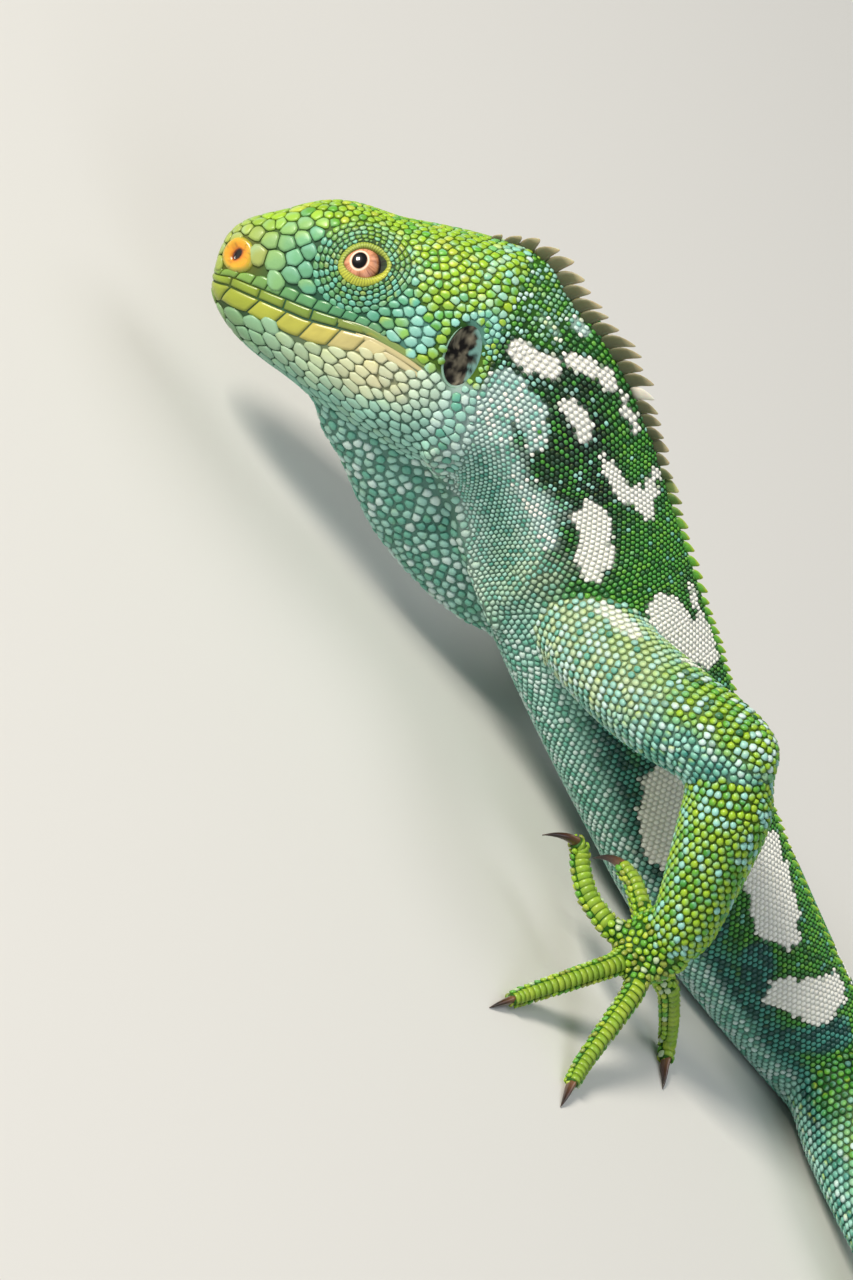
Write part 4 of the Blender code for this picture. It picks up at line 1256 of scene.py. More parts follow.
def cell_rims(skin, places, out, along, long, wide, sides, gap, most, corner=1.13):
    """The rim of each scale: halfway to its neighbours each way round, in the skin's surface."""
    near = neighbours(places, 14)
    across = np.cross(out, along)
    away = places[near] - places[:, None]
    alike = (out[near] * out[:, None]).sum(2) > 0.2
    x = (away * along[:, None]).sum(2) / long[:, None]
    y = (away * across[:, None]).sum(2) / wide[:, None]
    size = np.sqrt(long * wide)
    power = x * x + y * y + 0.25 - (0.5 * size[near] / size[:, None]) ** 2
    turn = (np.arange(sides) + 0.5) * 2 * math.pi / sides
    rims = np.zeros((len(places), sides, 3))
    reach = np.zeros((len(places), sides))
    for index, angle in enumerate(turn):
        dot = x * math.cos(angle) + y * math.sin(angle)
        share = np.where((dot > 0.05) & alike, power / 2 / np.maximum(dot, 0.05), 9.0).min(axis=1)
        reach[:, index] = np.clip(share, 0.22, most)
    reach = np.minimum(reach, corner * reach.mean(axis=1, keepdims=True))
    for index, angle in enumerate(turn):
        step = along * (math.cos(angle) * long)[:, None] + across * (math.sin(angle) * wide)[:, None]
        full = norms(step) * reach[:, index]
        short = np.maximum(full - gap / 2, 0.62 * full)
        rims[:, index] = places + step * (reach[:, index] * short / full)[:, None]
    if skin is None:
        return rims, None
    found, ways = skin.nearest(rims.reshape(-1, 3))
    return found.reshape(rims.shape), ways.reshape(rims.shape)


def settled(skin, places, out, along, long, wide, rounds, fixed):
    """Moves each place to the middle of its own cell, so that the cells even out and leave no gaps."""
    for _ in range(rounds):
        flat = flattened(along, out)
        gap = np.zeros(len(places))
        rims, _ = cell_rims(None, places, out, flat, long, wide, GRANULE_SIDES, gap, 0.95)
        moved = rims.mean(axis=1)
        stay = fixed | left_bare(to_head(moved))
        places = np.where(stay[:, None], places, moved)
        places, out = skin.nearest(places)
    return places, out


RIM_SUNK = 0.1  # how deep a scale's rim lies in the skin
MAP_REACH = 0.0015  # how far a scale reaches on the coat's map


def scale_mesh(name, rings, places, out, along, rims, rim_ways, height, tilt, colours, roots, second, lean):
    """Domed scales as one mesh: rings from the middle to a rim sunk in the skin, and a closing base, each
    ring with its painted shade and a painted sheen towards one side.
    """
    count, sides = rims.shape[:2]
    turn = (np.arange(sides) + 0.5) * 2 * math.pi / sides
    lift = height[:, None] + tilt[:, None] * (0.5 + 0.5 * np.cos(turn))
    middles, middles_out = places[:, None], out[:, None]
    points = [(places + out * (height + 0.5 * tilt)[:, None] + along * (0.15 * tilt)[:, None])[:, None]]
    tints, offsets = [colours[:, None]], [np.zeros((1, 2))]
    # Painted sheen: each scale turns towards its sheen colour on one side.
    sheen_share = lean[:, :1] * np.clip(0.25 + np.cos(turn - lean[:, 1:]), 0, 1)
    mixed = colours[:, None] + (second - colours)[:, None] * sheen_share[:, :, None]
    for share, rise, shade in rings:
        if rise is None:
            points.append(rims - rim_ways * RIM_SUNK)
            # Painted shade at the sunk rim: scales of light colour are darkened less.
            shade = shade + 0.45 * colours.mean(axis=1)[:, None, None]
        else:
            ways = middles_out * (1 - share) + rim_ways * share
            points.append(middles + (rims - middles) * share + ways * (lift * rise)[:, :, None])
        tints.append(mixed * shade)
        offsets.append(np.column_stack([np.cos(turn), np.sin(turn)]) * share * MAP_REACH)
    points, tints = np.concatenate(points, axis=1), np.concatenate(tints, axis=1)
    first = np.arange(count)[:, None, None] * points.shape[1]
    a = 1 + np.arange(sides)
    b = 1 + np.arange(1, sides + 1) % sides
    last = (len(rings) - 1) * sides
    cap = np.column_stack([np.zeros(sides, int), a, b])
    bands = [np.column_stack([a, sides + a, sides + b, b]) + start for start in range(0, last, sides)]
    faces = [(first + rows).reshape(-1, rows.shape[1])
             for rows in (cap, np.concatenate(bands), last + a[None, ::-1])]
    mesh = mesh_of(name, points.reshape(-1, 3), faces)
    baked(mesh, (roots[:, None] + np.concatenate(offsets)).reshape(-1, 2))
    return mesh, tints.reshape(-1, 3)


def baked(mesh, uvs):
    """Gives each corner of the mesh its point's place on the coat's map."""
    layer = mesh.uv_layers.new(name="OFBake")
    layer.data.foreach_set("uv", uvs[corner_points(mesh)].astype(np.float32).ravel())


def unrolled(points, owners):
    """Each point's place on a map that unrolls the skin round its own lines, from 0 to 1."""
    uvs = np.zeros((len(points), 2))
    line = np.vstack([np.array(BODY_LINE)[:-1], np.array(tail_line())[:, :3]])
    for number in range(len(FLESH)):
        mine = owners == number
        if not mine.any():
            continue
        x, y, z = points[mine].T
        if number <= THROAT:
            back, right, up = to_head(points[mine]).T
            along, around = np.clip(back / 70, 0, 1), np.arctan2(right, up + 2) / (2 * math.pi) + 0.5
            low, high = (0.0, 0.0), (0.5, 0.3)
        elif number < LIMBS:
            middle_y, middle_z = (np.interp(x, line[:, 0], line[:, i]) for i in (1, 2))
            along, around = (x + 55) / 640, np.arctan2(y - middle_y, z - middle_z) / (2 * math.pi) + 0.5
            low, high = (0.0, 0.32), (1.0, 0.98)
        else:
            along, around = ((values - values.min()) / max(np.ptp(values), 1.0) for values in (x, y))
            around = around / 2 + np.where(z > (z.min() + z.max()) / 2, 0.5, 0.0)
            left = 0.5 + 0.04 * (number - LIMBS)
            low, high = (left, 0.0), (left + 0.035, 0.3)
        uvs[mine] = np.column_stack([along, around]) * np.subtract(high, low) + low
    return uvs


# A scale's rings from its middle to its rim, each with its share of the way, its height as a share of the
# scale's, which is None for the rim that is sunk in the skin, and its painted shade, darker towards the rim.
GRANULE = ((0.7, 0.8, 0.96), (1.0, None, 0.42))
HEAD_GRANULE = ((0.66, 0.96, 1.0), (0.92, 0.64, 0.84), (1.0, None, 0.34))
PLATE = ((0.66, 0.99, 1.0), (0.94, 0.8, 0.9), (1.0, None, 0.34))
SHINGLE = ((0.8, 0.85, 0.98), (1.0, None, 0.38))
PLATE_SIDES = 14
PLATE_SIZE = 2.1  # from this size on, a scale of the head is a plate with more sides
FACING_AWAY = -0.1
# Each piece of the coat: its name, its first and last node, its side (0 for both) and its scales' rings.
PIECES = (
    ("scales_head", 0, 1, 0, HEAD_GRANULE), ("scales_throat", 2, 2, 0, GRANULE),
    ("scales_neck", 3, 3, 0, GRANULE),
    ("scales_shoulders_left", 4, 4, -1, GRANULE), ("scales_shoulders_right", 4, 4, 1, GRANULE),
    ("scales_trunk_rear_left", 5, 5, -1, GRANULE), ("scales_trunk_rear_right", 5, 5, 1, GRANULE),
    ("scales_tail_front", 6, 7, 0, GRANULE), ("scales_tail_rear", 8, 10, 0, GRANULE),
    ("scales_foreleg_left", 11, 13, 0, SHINGLE), ("scales_foreleg_right", 14, 16, 0, SHINGLE),
    ("scales_hindleg_left", 17, 19, 0, SHINGLE), ("scales_hindleg_right", 20, 22, 0, SHINGLE),
)


class IGUANA_OT_scales(bpy.types.Operator):
    """Grows the scales over the skin, each a small solid dome with its own colour"""

    bl_idname = "iguana.scales"
    bl_label = "Scales"

    def execute(self, context):
        for name in PALETTE:
            COLOUR[name] = np.array(getattr(context.scene.iguana_colours, name))
        skin = current_skin()
        places, out, along, long, wide, owner = all_seeds(skin)
        rng = np.random.default_rng(SEED + 1)
        draw = rng.random(len(places))
        colours = painted(places, owner, draw)
        colours *= (0.93 + 0.14 * rng.random(len(places)))[:, None]
        roots = unrolled(places, owner)
        size = np.sqrt(long * wide)
        height = 0.2 + 0.13 * np.minimum(size, 2.5)
        height = np.where(np.isin(owner, BODY), 0.17 + 0.1 * size, height)
        tilt = np.select([owner >= LIMBS, owner >= TAIL, owner >= NECK], [0.34, 0.22, 0.05], 0.0)
        gap = np.where(owner <= JAW, 0.09, np.clip(0.1 * size, 0.08, 0.16))
        on_head = (owner == 0) | (owner == JAW)
        most = np.where(on_head, 1.05, np.where(owner == THROAT, 0.95, 0.76))
        rims, rim_ways = cell_rims(skin, places, out, along, long, wide, GRANULE_SIDES, gap, most)
        # A scale whose rim lies on skin that faces the other way would bridge a crease, and is left out.
        bridging = (rim_ways * out[:, None]).sum(2).min(axis=1) < FACING_AWAY
        big = on_head & (size > PLATE_SIZE)
        # Painted sheen: turquoise, mint or lemon towards one side of each scale.
        second, lean = self.sheen_colours(places, owner, rng)
        rest = (height, tilt, colours, roots, second, lean)
        for name, first, last, side, rings in PIECES:
            mine = (owner >= first) & (owner <= last) & ~bridging & ~big
            if side:
                mine &= (places[:, 1] >= 0) == (side > 0)
            self.put_scales(name, (places, out, along, rims, rim_ways, *rest), mine, rings)
        rims, rim_ways = cell_rims(skin, places, out, along, long, wide, PLATE_SIDES, gap, 1.1, 1.24)
        self.put_scales("plates_head", (places, out, along, rims, rim_ways, *rest), big, PLATE)
        self.paint_skin(skin.points)
        return {"FINISHED"}

    def put_scales(self, name, rows, mine, rings):
        mesh, tint = scale_mesh(name, rings, *(row[mine] for row in rows))
        put(name, mesh, "keratin scales", tint)

    def sheen_colours(self, places, owner, rng):
        """The colour of a painted sheen towards one edge of each scale, with how strong it is and which way
        it lies.
        """
        count = len(places)
        mixed = rng.random(count)
        second = drawn(mixed, (0.5, "turquoise"), (0.3, "mint"), (0.2, "lemon"))
        amount = np.full(count, 0.12)
        back, _, up = to_head(places).T
        amount[(owner == 0) & (up > 2)] = 0.3
        amount[(owner == 0) & (back > 34) & (up > 0)] = 0.75
        amount[owner >= LIMBS] = 0.6
        amount[np.isin(owner, HANDS)] = 0.15
        amount *= 0.35 + 0.65 * rng.random(count)
        return second, np.column_stack([amount, math.pi * 0.75 + rng.normal(0, 0.7, count)])

    def paint_skin(self, points):
        """The skin between the scales: their own colours, darkened as painted shade in the gaps, and near
        black in the eye openings as painted shade.
        """
        owner = owners_at(points, flesh_trees())
        colours = painted(points, owner, np.full(len(points), 0.4))
        # Painted shade in the gaps between the scales: light colours are darkened less.
        depth = np.where(owner <= JAW, 0.22, 0.3) + 0.5 * colours.mean(axis=1) ** 2
        colours = depth[:, None] * colours ** 1.3
        # Painted shade: the skin in and round each eye opening, in the gap behind the lids, is near black.
        head = to_head(points)
        for side in (-1, 1):
            inside = (np.sign(head[:, 1]) == side) & (from_opening(head, side) < 0.75 * LID_WIDTHS[0])
            colours[inside] = srgb("#1C1512")
        mesh = bpy.data.objects["skin"].data
        coloured(mesh, colours)
        baked(mesh, unrolled(points, owner))


# ---- eyes, lids, nostrils, ears and lips


def swept(rings, looped=False):
    """Points and faces of rings of equal size joined in order: a closed loop, or a tube with closed ends."""
    rings = np.asarray(rings, float)
    count, sides = rings.shape[:2]
    a = np.arange(sides)
    b = (a + 1) % sides
    last = count if looped else count - 1
    quads = []
    for ring in range(last):
        here, there = ring * sides, (ring + 1) % count * sides
        quads.append(np.column_stack([here + a, here + b, there + b, there + a]))
    faces = [np.concatenate(quads)]
    if not looped:
        faces.append(np.stack([a[::-1], (count - 1) * sides + a]))
    return rings.reshape(-1, 3), faces


def grid_faces(rows, columns):
    """The faces of a grid of points, and one more that closes it underneath."""
    index = np.arange(rows * columns).reshape(rows, columns)
    quads = np.stack([index[:-1, :-1], index[1:, :-1], index[1:, 1:], index[:-1, 1:]], axis=-1).reshape(-1, 4)
    rim = np.concatenate([index[:, 0], index[-1, 1:], index[-2::-1, -1], index[0, -2:0:-1]])[::-1]
    return [quads, rim[None]]


def gathered(parts):
    """Several meshes' points, faces and colours as one."""
    points, faces, colours, start = [], {}, [], 0
    for part_points, part_faces, part_colours in parts:
        points.append(part_points)
        colours.append(np.broadcast_to(part_colours, (len(part_points), 3)))
        for group in part_faces:
            faces.setdefault(group.shape[1], []).append(group + start)
        start += len(part_points)
    return np.concatenate(points), [np.concatenate(f) for f in faces.values()], np.concatenate(colours)


def put_coat(name, parts, look, owner=0, replaces=()):
    """A small piece of the coat: its joined parts, with its place on the coat's map."""
    points, faces, colours = gathered(parts)
    mesh = mesh_of(name, points, faces)
    bm = bmesh.new()
    bm.from_mesh(mesh)
    bmesh.ops.recalc_face_normals(bm, faces=bm.faces)
    bm.to_mesh(mesh)
    bm.free()
    mesh.shade_smooth()
    baked(mesh, unrolled(points, np.full(len(points), owner)))
    put(name, mesh, look, colours, replaces)


def current_skin():
    """The finished skin's points and faces, read back in the animal's frame."""
    mesh = bpy.data.objects["skin"].data
    points = np.zeros(len(mesh.vertices) * 3, np.float32)
    mesh.vertices.foreach_get("co", points)
    return Skin(points.reshape(-1, 3).astype(float) / MM - OFFSET, corner_points(mesh).reshape(-1, 4))


GAZE = (-0.12, 0.86, 0.50)  # the way the pupil faces in the head's frame, for the right eye
PUPIL = (1.5, 1.75)  # half its width and height
PALE_RING = 0.32  # width of the ring round the pupil
IRIS = 3.7  # its radius


class IGUANA_OT_eyes(bpy.types.Operator):
    """Makes the glossy eyeballs: black pupil, pale ring, streaked salmon iris and dark corners"""

    bl_idname = "iguana.eyes"
    bl_label = "Eyes"

    def execute(self, context):
        for name, side in (("eye_left", -1), ("eye_right", 1)):
            middle, _, long, _ = eye_frame(side)
            gaze = unit(np.array(GAZE) * (1, side, 1))
            upward = unit(np.array((0, 0, 1.0)) - gaze * gaze[2])
            aside = np.cross(upward, gaze)
            ball = bmesh.new()
            bmesh.ops.create_uvsphere(ball, u_segments=128, v_segments=112, radius=EYE_RADIUS)
            turn = Matrix(np.column_stack([aside, upward, gaze]).tolist())
            bmesh.ops.transform(ball, matrix=turn.to_4x4(), verts=ball.verts)
            places = np.array([v.co for v in ball.verts])
            for vert, place in zip(ball.verts, places):
                vert.co = to_frame(from_head(middle + place))
            bmesh.ops.recalc_face_normals(ball, faces=ball.faces)
            mesh = mesh_from(ball, name)
            mesh.shade_smooth()
            put(f"{name}_ball", mesh, "wet cornea over the iris",
                self.iris(places, gaze, upward, aside, long), (name,))
        return {"FINISHED"}

    def iris(self, places, gaze, upward, aside, long):
        """The colour of each point of an eyeball, from how far it lies from the way it looks."""
        x, y = places @ aside, places @ upward
        facing = places @ gaze
        turn = np.arctan2(y, x)
        reach = np.where(facing > 0, np.hypot(x, y), EYE_RADIUS * 2)
        pupil = 1 / np.hypot(np.cos(turn) / PUPIL[0], np.sin(turn) / PUPIL[1])
        streaks = noise_of(np.column_stack([turn * 9, reach * 0.5, turn * 0]), 0.7, 11)
        fine = noise_of(np.column_stack([turn * 24, reach * 0.8, turn * 0]), 1.0, 12)
        mottle = noise_of(places, 0.8, 13)
        share = np.clip((reach - pupil) / (IRIS - pupil), 0, 1)
        rust = np.clip(0.05 + 0.6 * share**1.5 + 0.4 * streaks + 0.35 * fine, 0, 1)
        colour = blended(srgb("#D99B78"), srgb("#85482C"), rust) * (1 + 0.18 * mottle)[:, None]
        colour = blended(colour, srgb("#1C1210"), step_up(reach, IRIS - 0.35, IRIS + 0.25))
        past = reach - pupil
        ring = step_up(past, -0.05, 0.05) * (1 - step_up(past, PALE_RING - 0.08, PALE_RING + 0.12))
        colour = blended(colour, srgb("#F6E3CC"), ring)
        black = 1 - step_up(past, -0.12, 0.02)
        colour = blended(colour, (0.002, 0.002, 0.002), black)
        corner = step_up(places @ long, 2.5, 3.2)
        return blended(colour, srgb("#2A2526"), corner)


LID_WIDTHS = (1.35, 1.65)  # of the upper and the lower lid
LID_PROFILE = ((-0.02, -0.7), (0, 0), (0.1, 0.24), (0.35, 0.42), (0.65, 0.38), (0.9, 0.12), (1.05, -0.5))
LID_RIPPLES = 46


def lid_width(angle):
    low, high = LID_WIDTHS[1], LID_WIDTHS[0]
    return low + (high - low) * step_up(np.sin(angle), -0.4, 0.4) - 0.35 * np.abs(np.cos(angle)) ** 6


def lid(skin, side):
    """The rim of both lids as one rounded roll round the opening, finely pleated, with painted shade in its
    folds.
    """
    middle, out, long, short = eye_frame(side)
    angle = round_turn(368)
    reach, width = opening_reach(angle), lid_width(angle)
    spoke = spokes_of(angle, long, short)
    pleat = 0.5 + 0.5 * np.cos(LID_RIPPLES * angle)
    inner = np.sqrt((EYE_RADIUS + 0.12) ** 2 - reach**2)

    def skin_height(share):
        starts = middle + spoke * (reach + width * share)[:, None] + out * 15
        hits = to_head(skin.cast(from_head(starts), HEAD_AXES @ -out, 30))
        height = (hits - middle) @ out
        return np.where(np.isfinite(height), height, 3.0)

    outer = skin_height(1.0)
    rows, tints = [], []
    base = blended(srgb("#A3B548"), srgb("#C6CB45"), step_up(-np.sin(angle), -0.2, 0.6))
    for share, rise in LID_PROFILE:
        height = inner + (outer - inner) * np.clip(share, 0, 1)
        if 0.3 < share < 1:
            height = np.maximum(height, skin_height(share) - 0.05)
        bump = rise - 0.1 * pleat * (rise > 0)
        rows.append(middle + spoke * (reach + width * share)[:, None] + out * (height + bump)[:, None])
        # Painted shade: darker where the roll sinks into the skin, at its inner edge and in each pleat.
        shade = (0.35 if rise < 0 else 1.0 if share > 0.1 else 0.6) - 0.28 * pleat * (rise > 0)
        tints.append(base * np.clip(shade, 0.1, 1)[:, None])
    rings = np.stack([from_head(row) for row in rows], axis=1)
    return (*swept(rings, looped=True), np.stack(tints, axis=1).reshape(-1, 3))


# Each ring of a nostril: how far out, how high and its colour; the rings down into the hole darken to near
# black as painted shade.
NOSTRIL_PROFILE = (
    (3.6, -0.3, "#8C9A38"), (3.4, 0.3, "#A5A636"), (3.0, 0.58, "#C3AA34"), (2.5, 0.74, "#DBA426"),
    (2.0, 0.8, "#E3A01E"), (1.55, 0.86, "#DC921C"), (1.25, 0.74, "#C27416"), (1.05, 0.45, "#8A4010"),
    (0.92, 0.15, "#3C140A"), (0.8, 0.1, "#140504"), (0.4, 0.1, "#0A0303"),
)


def nostril(skin, side):
    """The swollen orange scale round a nostril, with its oval hole, painted near black inside as painted
    shade.
    """
    middle = np.array((NOSTRIL_AT[0], side * NOSTRIL_AT[1], NOSTRIL_AT[2]))
    out = unit(np.array((-0.42, side * 0.86, 0.28)))
    tall = np.array((0.28, 0, 1))
    tall = unit(tall - out * (tall @ out))
    broad = np.cross(tall, out)
    turn = round_turn(64)
    rings, tints = [], []
    for reach, rise, shade in NOSTRIL_PROFILE:
        oval = step_up(reach, 0.6, 2.2)
        wide = reach * (0.66 + 0.4 * oval) * (1 + 0.06 * np.cos(3 * turn + 0.6) * oval)
        high = reach * (1.2 - 0.22 * oval)
        flat = (np.cos(turn) * wide)[:, None] * broad + (np.sin(turn) * high)[:, None] * tall
        starts = middle + flat + out * 8
        depth = np.nan_to_num((to_head(skin.cast(from_head(starts), HEAD_AXES @ -out, 20)) - middle) @ out)
        level = depth * np.interp(reach, [0.92, 1.2, 1.9, 2.6], [1, 0, 0, 1])
        lobes = 0.1 * np.cos(2 * turn + 1) * (rise > 0.3)
        lowest = depth + 0.1 * (1 if reach < 3.5 else -3)
        rings.append(middle + flat + out * np.maximum(level + rise + lobes, lowest)[:, None])
        tints.append(np.broadcast_to(srgb(shade), (64, 3)))
    points, faces = swept([from_head(ring) for ring in rings])
    colours = np.concatenate(tints)
    cracks = step_up(np.abs(noise_of(points, 1.5, 21)), 0.0, 0.1)
    blotch = 1 + 0.16 * noise_of(points, 1.1, 22)
    return points, faces, colours * ((0.62 + 0.38 * cracks) * blotch)[:, None]


def eardrum(skin, side):
    """The dark, mottled skin stretched over an ear: an outer face and, under the skin, its inner one; its
    rear takes a painted teal sheen.
    """
    turn = round_turn(64)
    rings, tints = [], []
    inner = [(share, -0.5) for share in (0.1, 0.4, 0.7, 0.9)]
    outer = [(share, 0.12) for share in (0.97, 0.88, 0.77, 0.66, 0.55, 0.44, 0.33, 0.22, 0.1)]
    for share, rise in (*inner, (1.04, -0.35), *outer):
        back = EAR_AT[0] + EAR_HALF[0] * share * np.cos(turn)
        up = EAR_AT[2] + EAR_HALF[1] * share * np.sin(turn)
        starts = np.column_stack([back, np.full(64, side * 30.0), up])
        hits = to_head(skin.cast(from_head(starts), HEAD_AXES @ np.array((0, -side, 0)), 40))
        hits[:, 1] += side * rise
        rings.append(from_head(np.where(np.isfinite(hits), hits, starts)))
        x, y = share * np.cos(turn), share * np.sin(turn)
        # Painted sheen: teal over the rear of the drum, a little towards its top.
        sheen = 0.9 * step_up(0.75 * x + 0.2 * y + 0.35 * noise_of(rings[-1], 0.9, 31), 0.3, 0.65)
        dark, sheen_teal, grey = (srgb(c) for c in ("#0D0B0B", "#6F9A94", "#8C8674"))
        spots = noise_of(rings[-1], 1.1, 32) + 0.7 * noise_of(rings[-1], 0.55, 33)
        streak = hill(x - 0.05 - 0.15 * y, 0.3) * step_up(y, -0.55, -0.1)
        base = blended(dark, grey, step_up(spots + 0.5 * streak, -0.2, 1.2) * 0.7)
        tints.append(blended(base, sheen_teal, sheen))
    return (*swept(rings), np.concatenate(tints))


def ear_rim(skin, side):
    """The thin pale lip in front of and under an ear."""
    rings = []
    for angle in np.linspace(math.radians(125), math.radians(305), 50):
        spot = np.array((EAR_AT[0] + EAR_HALF[0] * 1.06 * math.cos(angle), side * 30.0,
                         EAR_AT[2] + EAR_HALF[1] * 1.04 * math.sin(angle)))
        way = HEAD_AXES @ np.array((0, -side, 0))
        hit = skin.cast(from_head(spot), way, 40)[0]
        if not np.isfinite(hit[0]):
            continue
        across = HEAD_AXES @ np.array((math.cos(angle), 0, math.sin(angle)))
        size = 0.3 * math.sin(math.pi * np.clip((angle - 2.1) / 3.3, 0.05, 0.95))
        rings.append(hit + spokes_of(round_turn(8), across, -way) * size)
    return (*swept(rings), srgb("#86AC98"))


FRONT_ARC = 9.0  # length of the lip's curve round the front of the snout, on one side
LIP_SEAM = 0.03  # half of the gap between two plates
LIP_GRID = (9, 7)  # points along and across each plate of the lips


def lip_places(skin, reach, up, side):
    """Places on the jaws and the ways out there, by distance round from the snout's middle and by height."""
    angle = np.clip(reach / FRONT_ARC, 0, 1) * math.pi / 2
    back = np.where(reach < FRONT_ARC, SNOUT_PIVOT, SNOUT_PIVOT + reach - FRONT_ARC)
    starts = np.column_stack([back, np.zeros(len(reach)), up])
    ways = np.column_stack([-np.cos(angle), side * np.sin(angle), np.zeros(len(reach))])
    hits = skin.cast(from_head(starts), ways @ HEAD_AXES.T, 30)
    missed = ~np.isfinite(hits[:, 0])
    hits[missed] = from_head(starts + ways * 5)[missed]
    return hits, ways @ HEAD_AXES.T


def lip_back(reach):
    """How far back from the tip of the snout a place round the lip lies."""
    angle = np.clip(reach / FRONT_ARC, 0, 1) * math.pi / 2
    return np.where(reach < FRONT_ARC, SNOUT_PIVOT * (1 - np.cos(angle)), SNOUT_PIVOT + reach - FRONT_ARC)


def lip_plate(skin, side, start, end, low, high, height, tint, slant, bows):
    """One plate of a lip: a smooth pillow between two heights over the mouth, its edges in the skin, with
    painted shade at its edges.
    """
    steps = (0.5 - 0.5 * np.cos(np.linspace(0, math.pi, count)) for count in LIP_GRID)
    s, t = (a.ravel() for a in np.meshgrid(*steps, indexing="ij"))
    reach = start + (end - start) * s + slant * (t - 0.5)
    back = lip_back(reach)
    bow = 1 - (2 * s - 1) ** 2
    bottom, top = along_table(low, back) - bows[0] * bow, along_table(high, back) + bows[1] * bow
    over = bottom + (top - bottom) * t
    hits, ways = lip_places(skin, np.maximum(reach, 0), along_table(MOUTH, back) + over, side)
    pillow = (1 - np.abs(2 * s - 1) ** 6) * (1 - np.abs(2 * t - 1) ** 3)
    border = (s < 1e-6) | (s > 1 - 1e-6) | (t < 1e-6) | (t > 1 - 1e-6)
    points = hits + ways * np.where(border, -0.25, height * (0.35 + 0.65 * pillow))[:, None]
    # Painted shade: dark along the sunk edges and lighter on the pillow's crown, with a little grain of tone.
    shade = np.where(border, 0.45, 0.8 + 0.2 * pillow) * (1 + 0.12 * noise_of(points, 1.6, 41))
    return points, grid_faces(*LIP_GRID), tint * shade[:, None]


# Each row of plates: its lower and upper edge over the mouth, a plate's length at the front and the rear,
# how far the plates stand out, their colours, their slant, how far their edges bow, and where the row ends.
LIP_ROWS = (
    (((0, 0.12), (40, 0.1)), LIP_TOP, (5.6, 5.2), 0.34,
     ((0, "#8DA62E"), (12, "#82982E"), (26, "#6F8F3C"), (38, "#93984A")), 0, (0, 0), 37),
    (tuple((b, h + 0.1) for b, h in LIP_TOP), PLATES_TOP, (3.6, 2.8), 0.36,
     ((0, "#86A838"), (8, "#7AA34A"), (18, "#5F9A60"), (30, "#4F9468"), (38, "#6B9A70")), 0.5, (0, 0.35), 37),
    (LOWER_LIP, ((0, -0.12), (42, -0.12)), (5, 5.6), 0.36,
     ((0, "#8E9F32"), (8, "#A1AE34"), (18, "#AEB23E"), (27, "#C0B45C"), (34, "#CFC48E"), (42, "#CDC698")),
     1.8, (0.4, 0), 38),
)
MOUTH_FOLDS = (
    (((26, 2.4), (31, 2.8), (35, 2.3), (40, 1.4), (45.3, 0.2)), 0.7, "#7F9650"),
    (((30, 1.2), (35, 1.2), (40, 0.4), (45, -0.9)), 0.6, "#C9BE8C"),
    (((33, -0.2), (37, -0.4), (41, -1.1), (44.8, -2)), 0.6, "#CFC79A"),
)


def lips(skin, side):
    """The smooth lip, the plates over it and the lower lip's plates, with the folds of the mouth's corner."""
    parts = []
    for low, high, lengths, height, colours, slant, bows, last in LIP_ROWS:
        start = 0.0
        while start < last:
            length = np.interp(start, [0, last], lengths) * (1 + 0.16 * math.sin(2.3 * start + 1))
            end = min(start + length, last + 0.5)
            tint = shaded(colours, (start + end) / 2) * (0.94 + 0.12 * (0.5 + 0.5 * math.sin(start * 7.3)))
            ends = (start + LIP_SEAM, end - LIP_SEAM)
            parts.append(lip_plate(skin, side, *ends, low, high, height, tint, slant, bows))
            start = end
    for line, size, colour in MOUTH_FOLDS:
        rows = smooth_line([(b, 0, u) for b, u in line], 0.7)
        hits, ways = lip_places(skin, rows[:, 0] - SNOUT_PIVOT + FRONT_ARC, rows[:, 2], side)
        taper = np.sin(np.linspace(0.12, 1, len(rows)) * math.pi * 0.93)
        along = unit(np.gradient(hits, axis=0))
        turn = round_turn(10)
        rings = [
            hit + spokes_of(turn, 1.25 * unit(np.cross(way, ahead)), 0.5 * way) * size * (0.25 + 0.75 * share)
            for hit, way, ahead, share in zip(hits, ways, along, taper)
        ]
        # Painted shade: each fold is lighter on its outward face and darker on its inner half.
        shade = np.tile(0.55 + 0.45 * np.clip(np.sin(turn), 0, 1), len(rows))
        parts.append((*swept(rings), srgb(colour) * shade[:, None]))
    return parts


class IGUANA_OT_face(bpy.types.Operator):
    """Makes the lids, nostrils, eardrums, lips and the folds at the corners of the mouth"""

    bl_idname = "iguana.face"
    bl_label = "Face"

    def execute(self, context):
        skin = current_skin()
        sides = (-1, 1)
        put_coat("lids", [lid(skin, side) for side in sides], "keratin scales")
        put_coat("nostrils", [nostril(skin, side) for side in sides], "moist nostril skin")
        put_coat("eardrums", [eardrum(skin, side) for side in sides], "stretched eardrum")
        put_coat("ear_rims", [ear_rim(skin, side) for side in sides], "keratin scales")
        put_coat("lips", lips(skin, -1) + lips(skin, 1), "smooth lip plates")
        return {"FINISHED"}


# ---- digits, claws and crest

SCUTE_HALF = 70.0  # how far round a digit its broad scales reach, in degrees
SCUTE_LENGTH = 1.45
KNUCKLE_ROWS = 5  # rows of a digit's line that lie within the palm
CLAW_STEPS = 14
CLAW_LENGTH = 7.4
CLAW_RADIUS = 1.2
CLAW_SUNK = 0.7  # how far a claw's root lies within its digit
CLAW_SHADES = ((0, "#7A563C"), (0.35, "#4A2C1E"), (0.7, "#22130E"), (1, "#3A241A"))


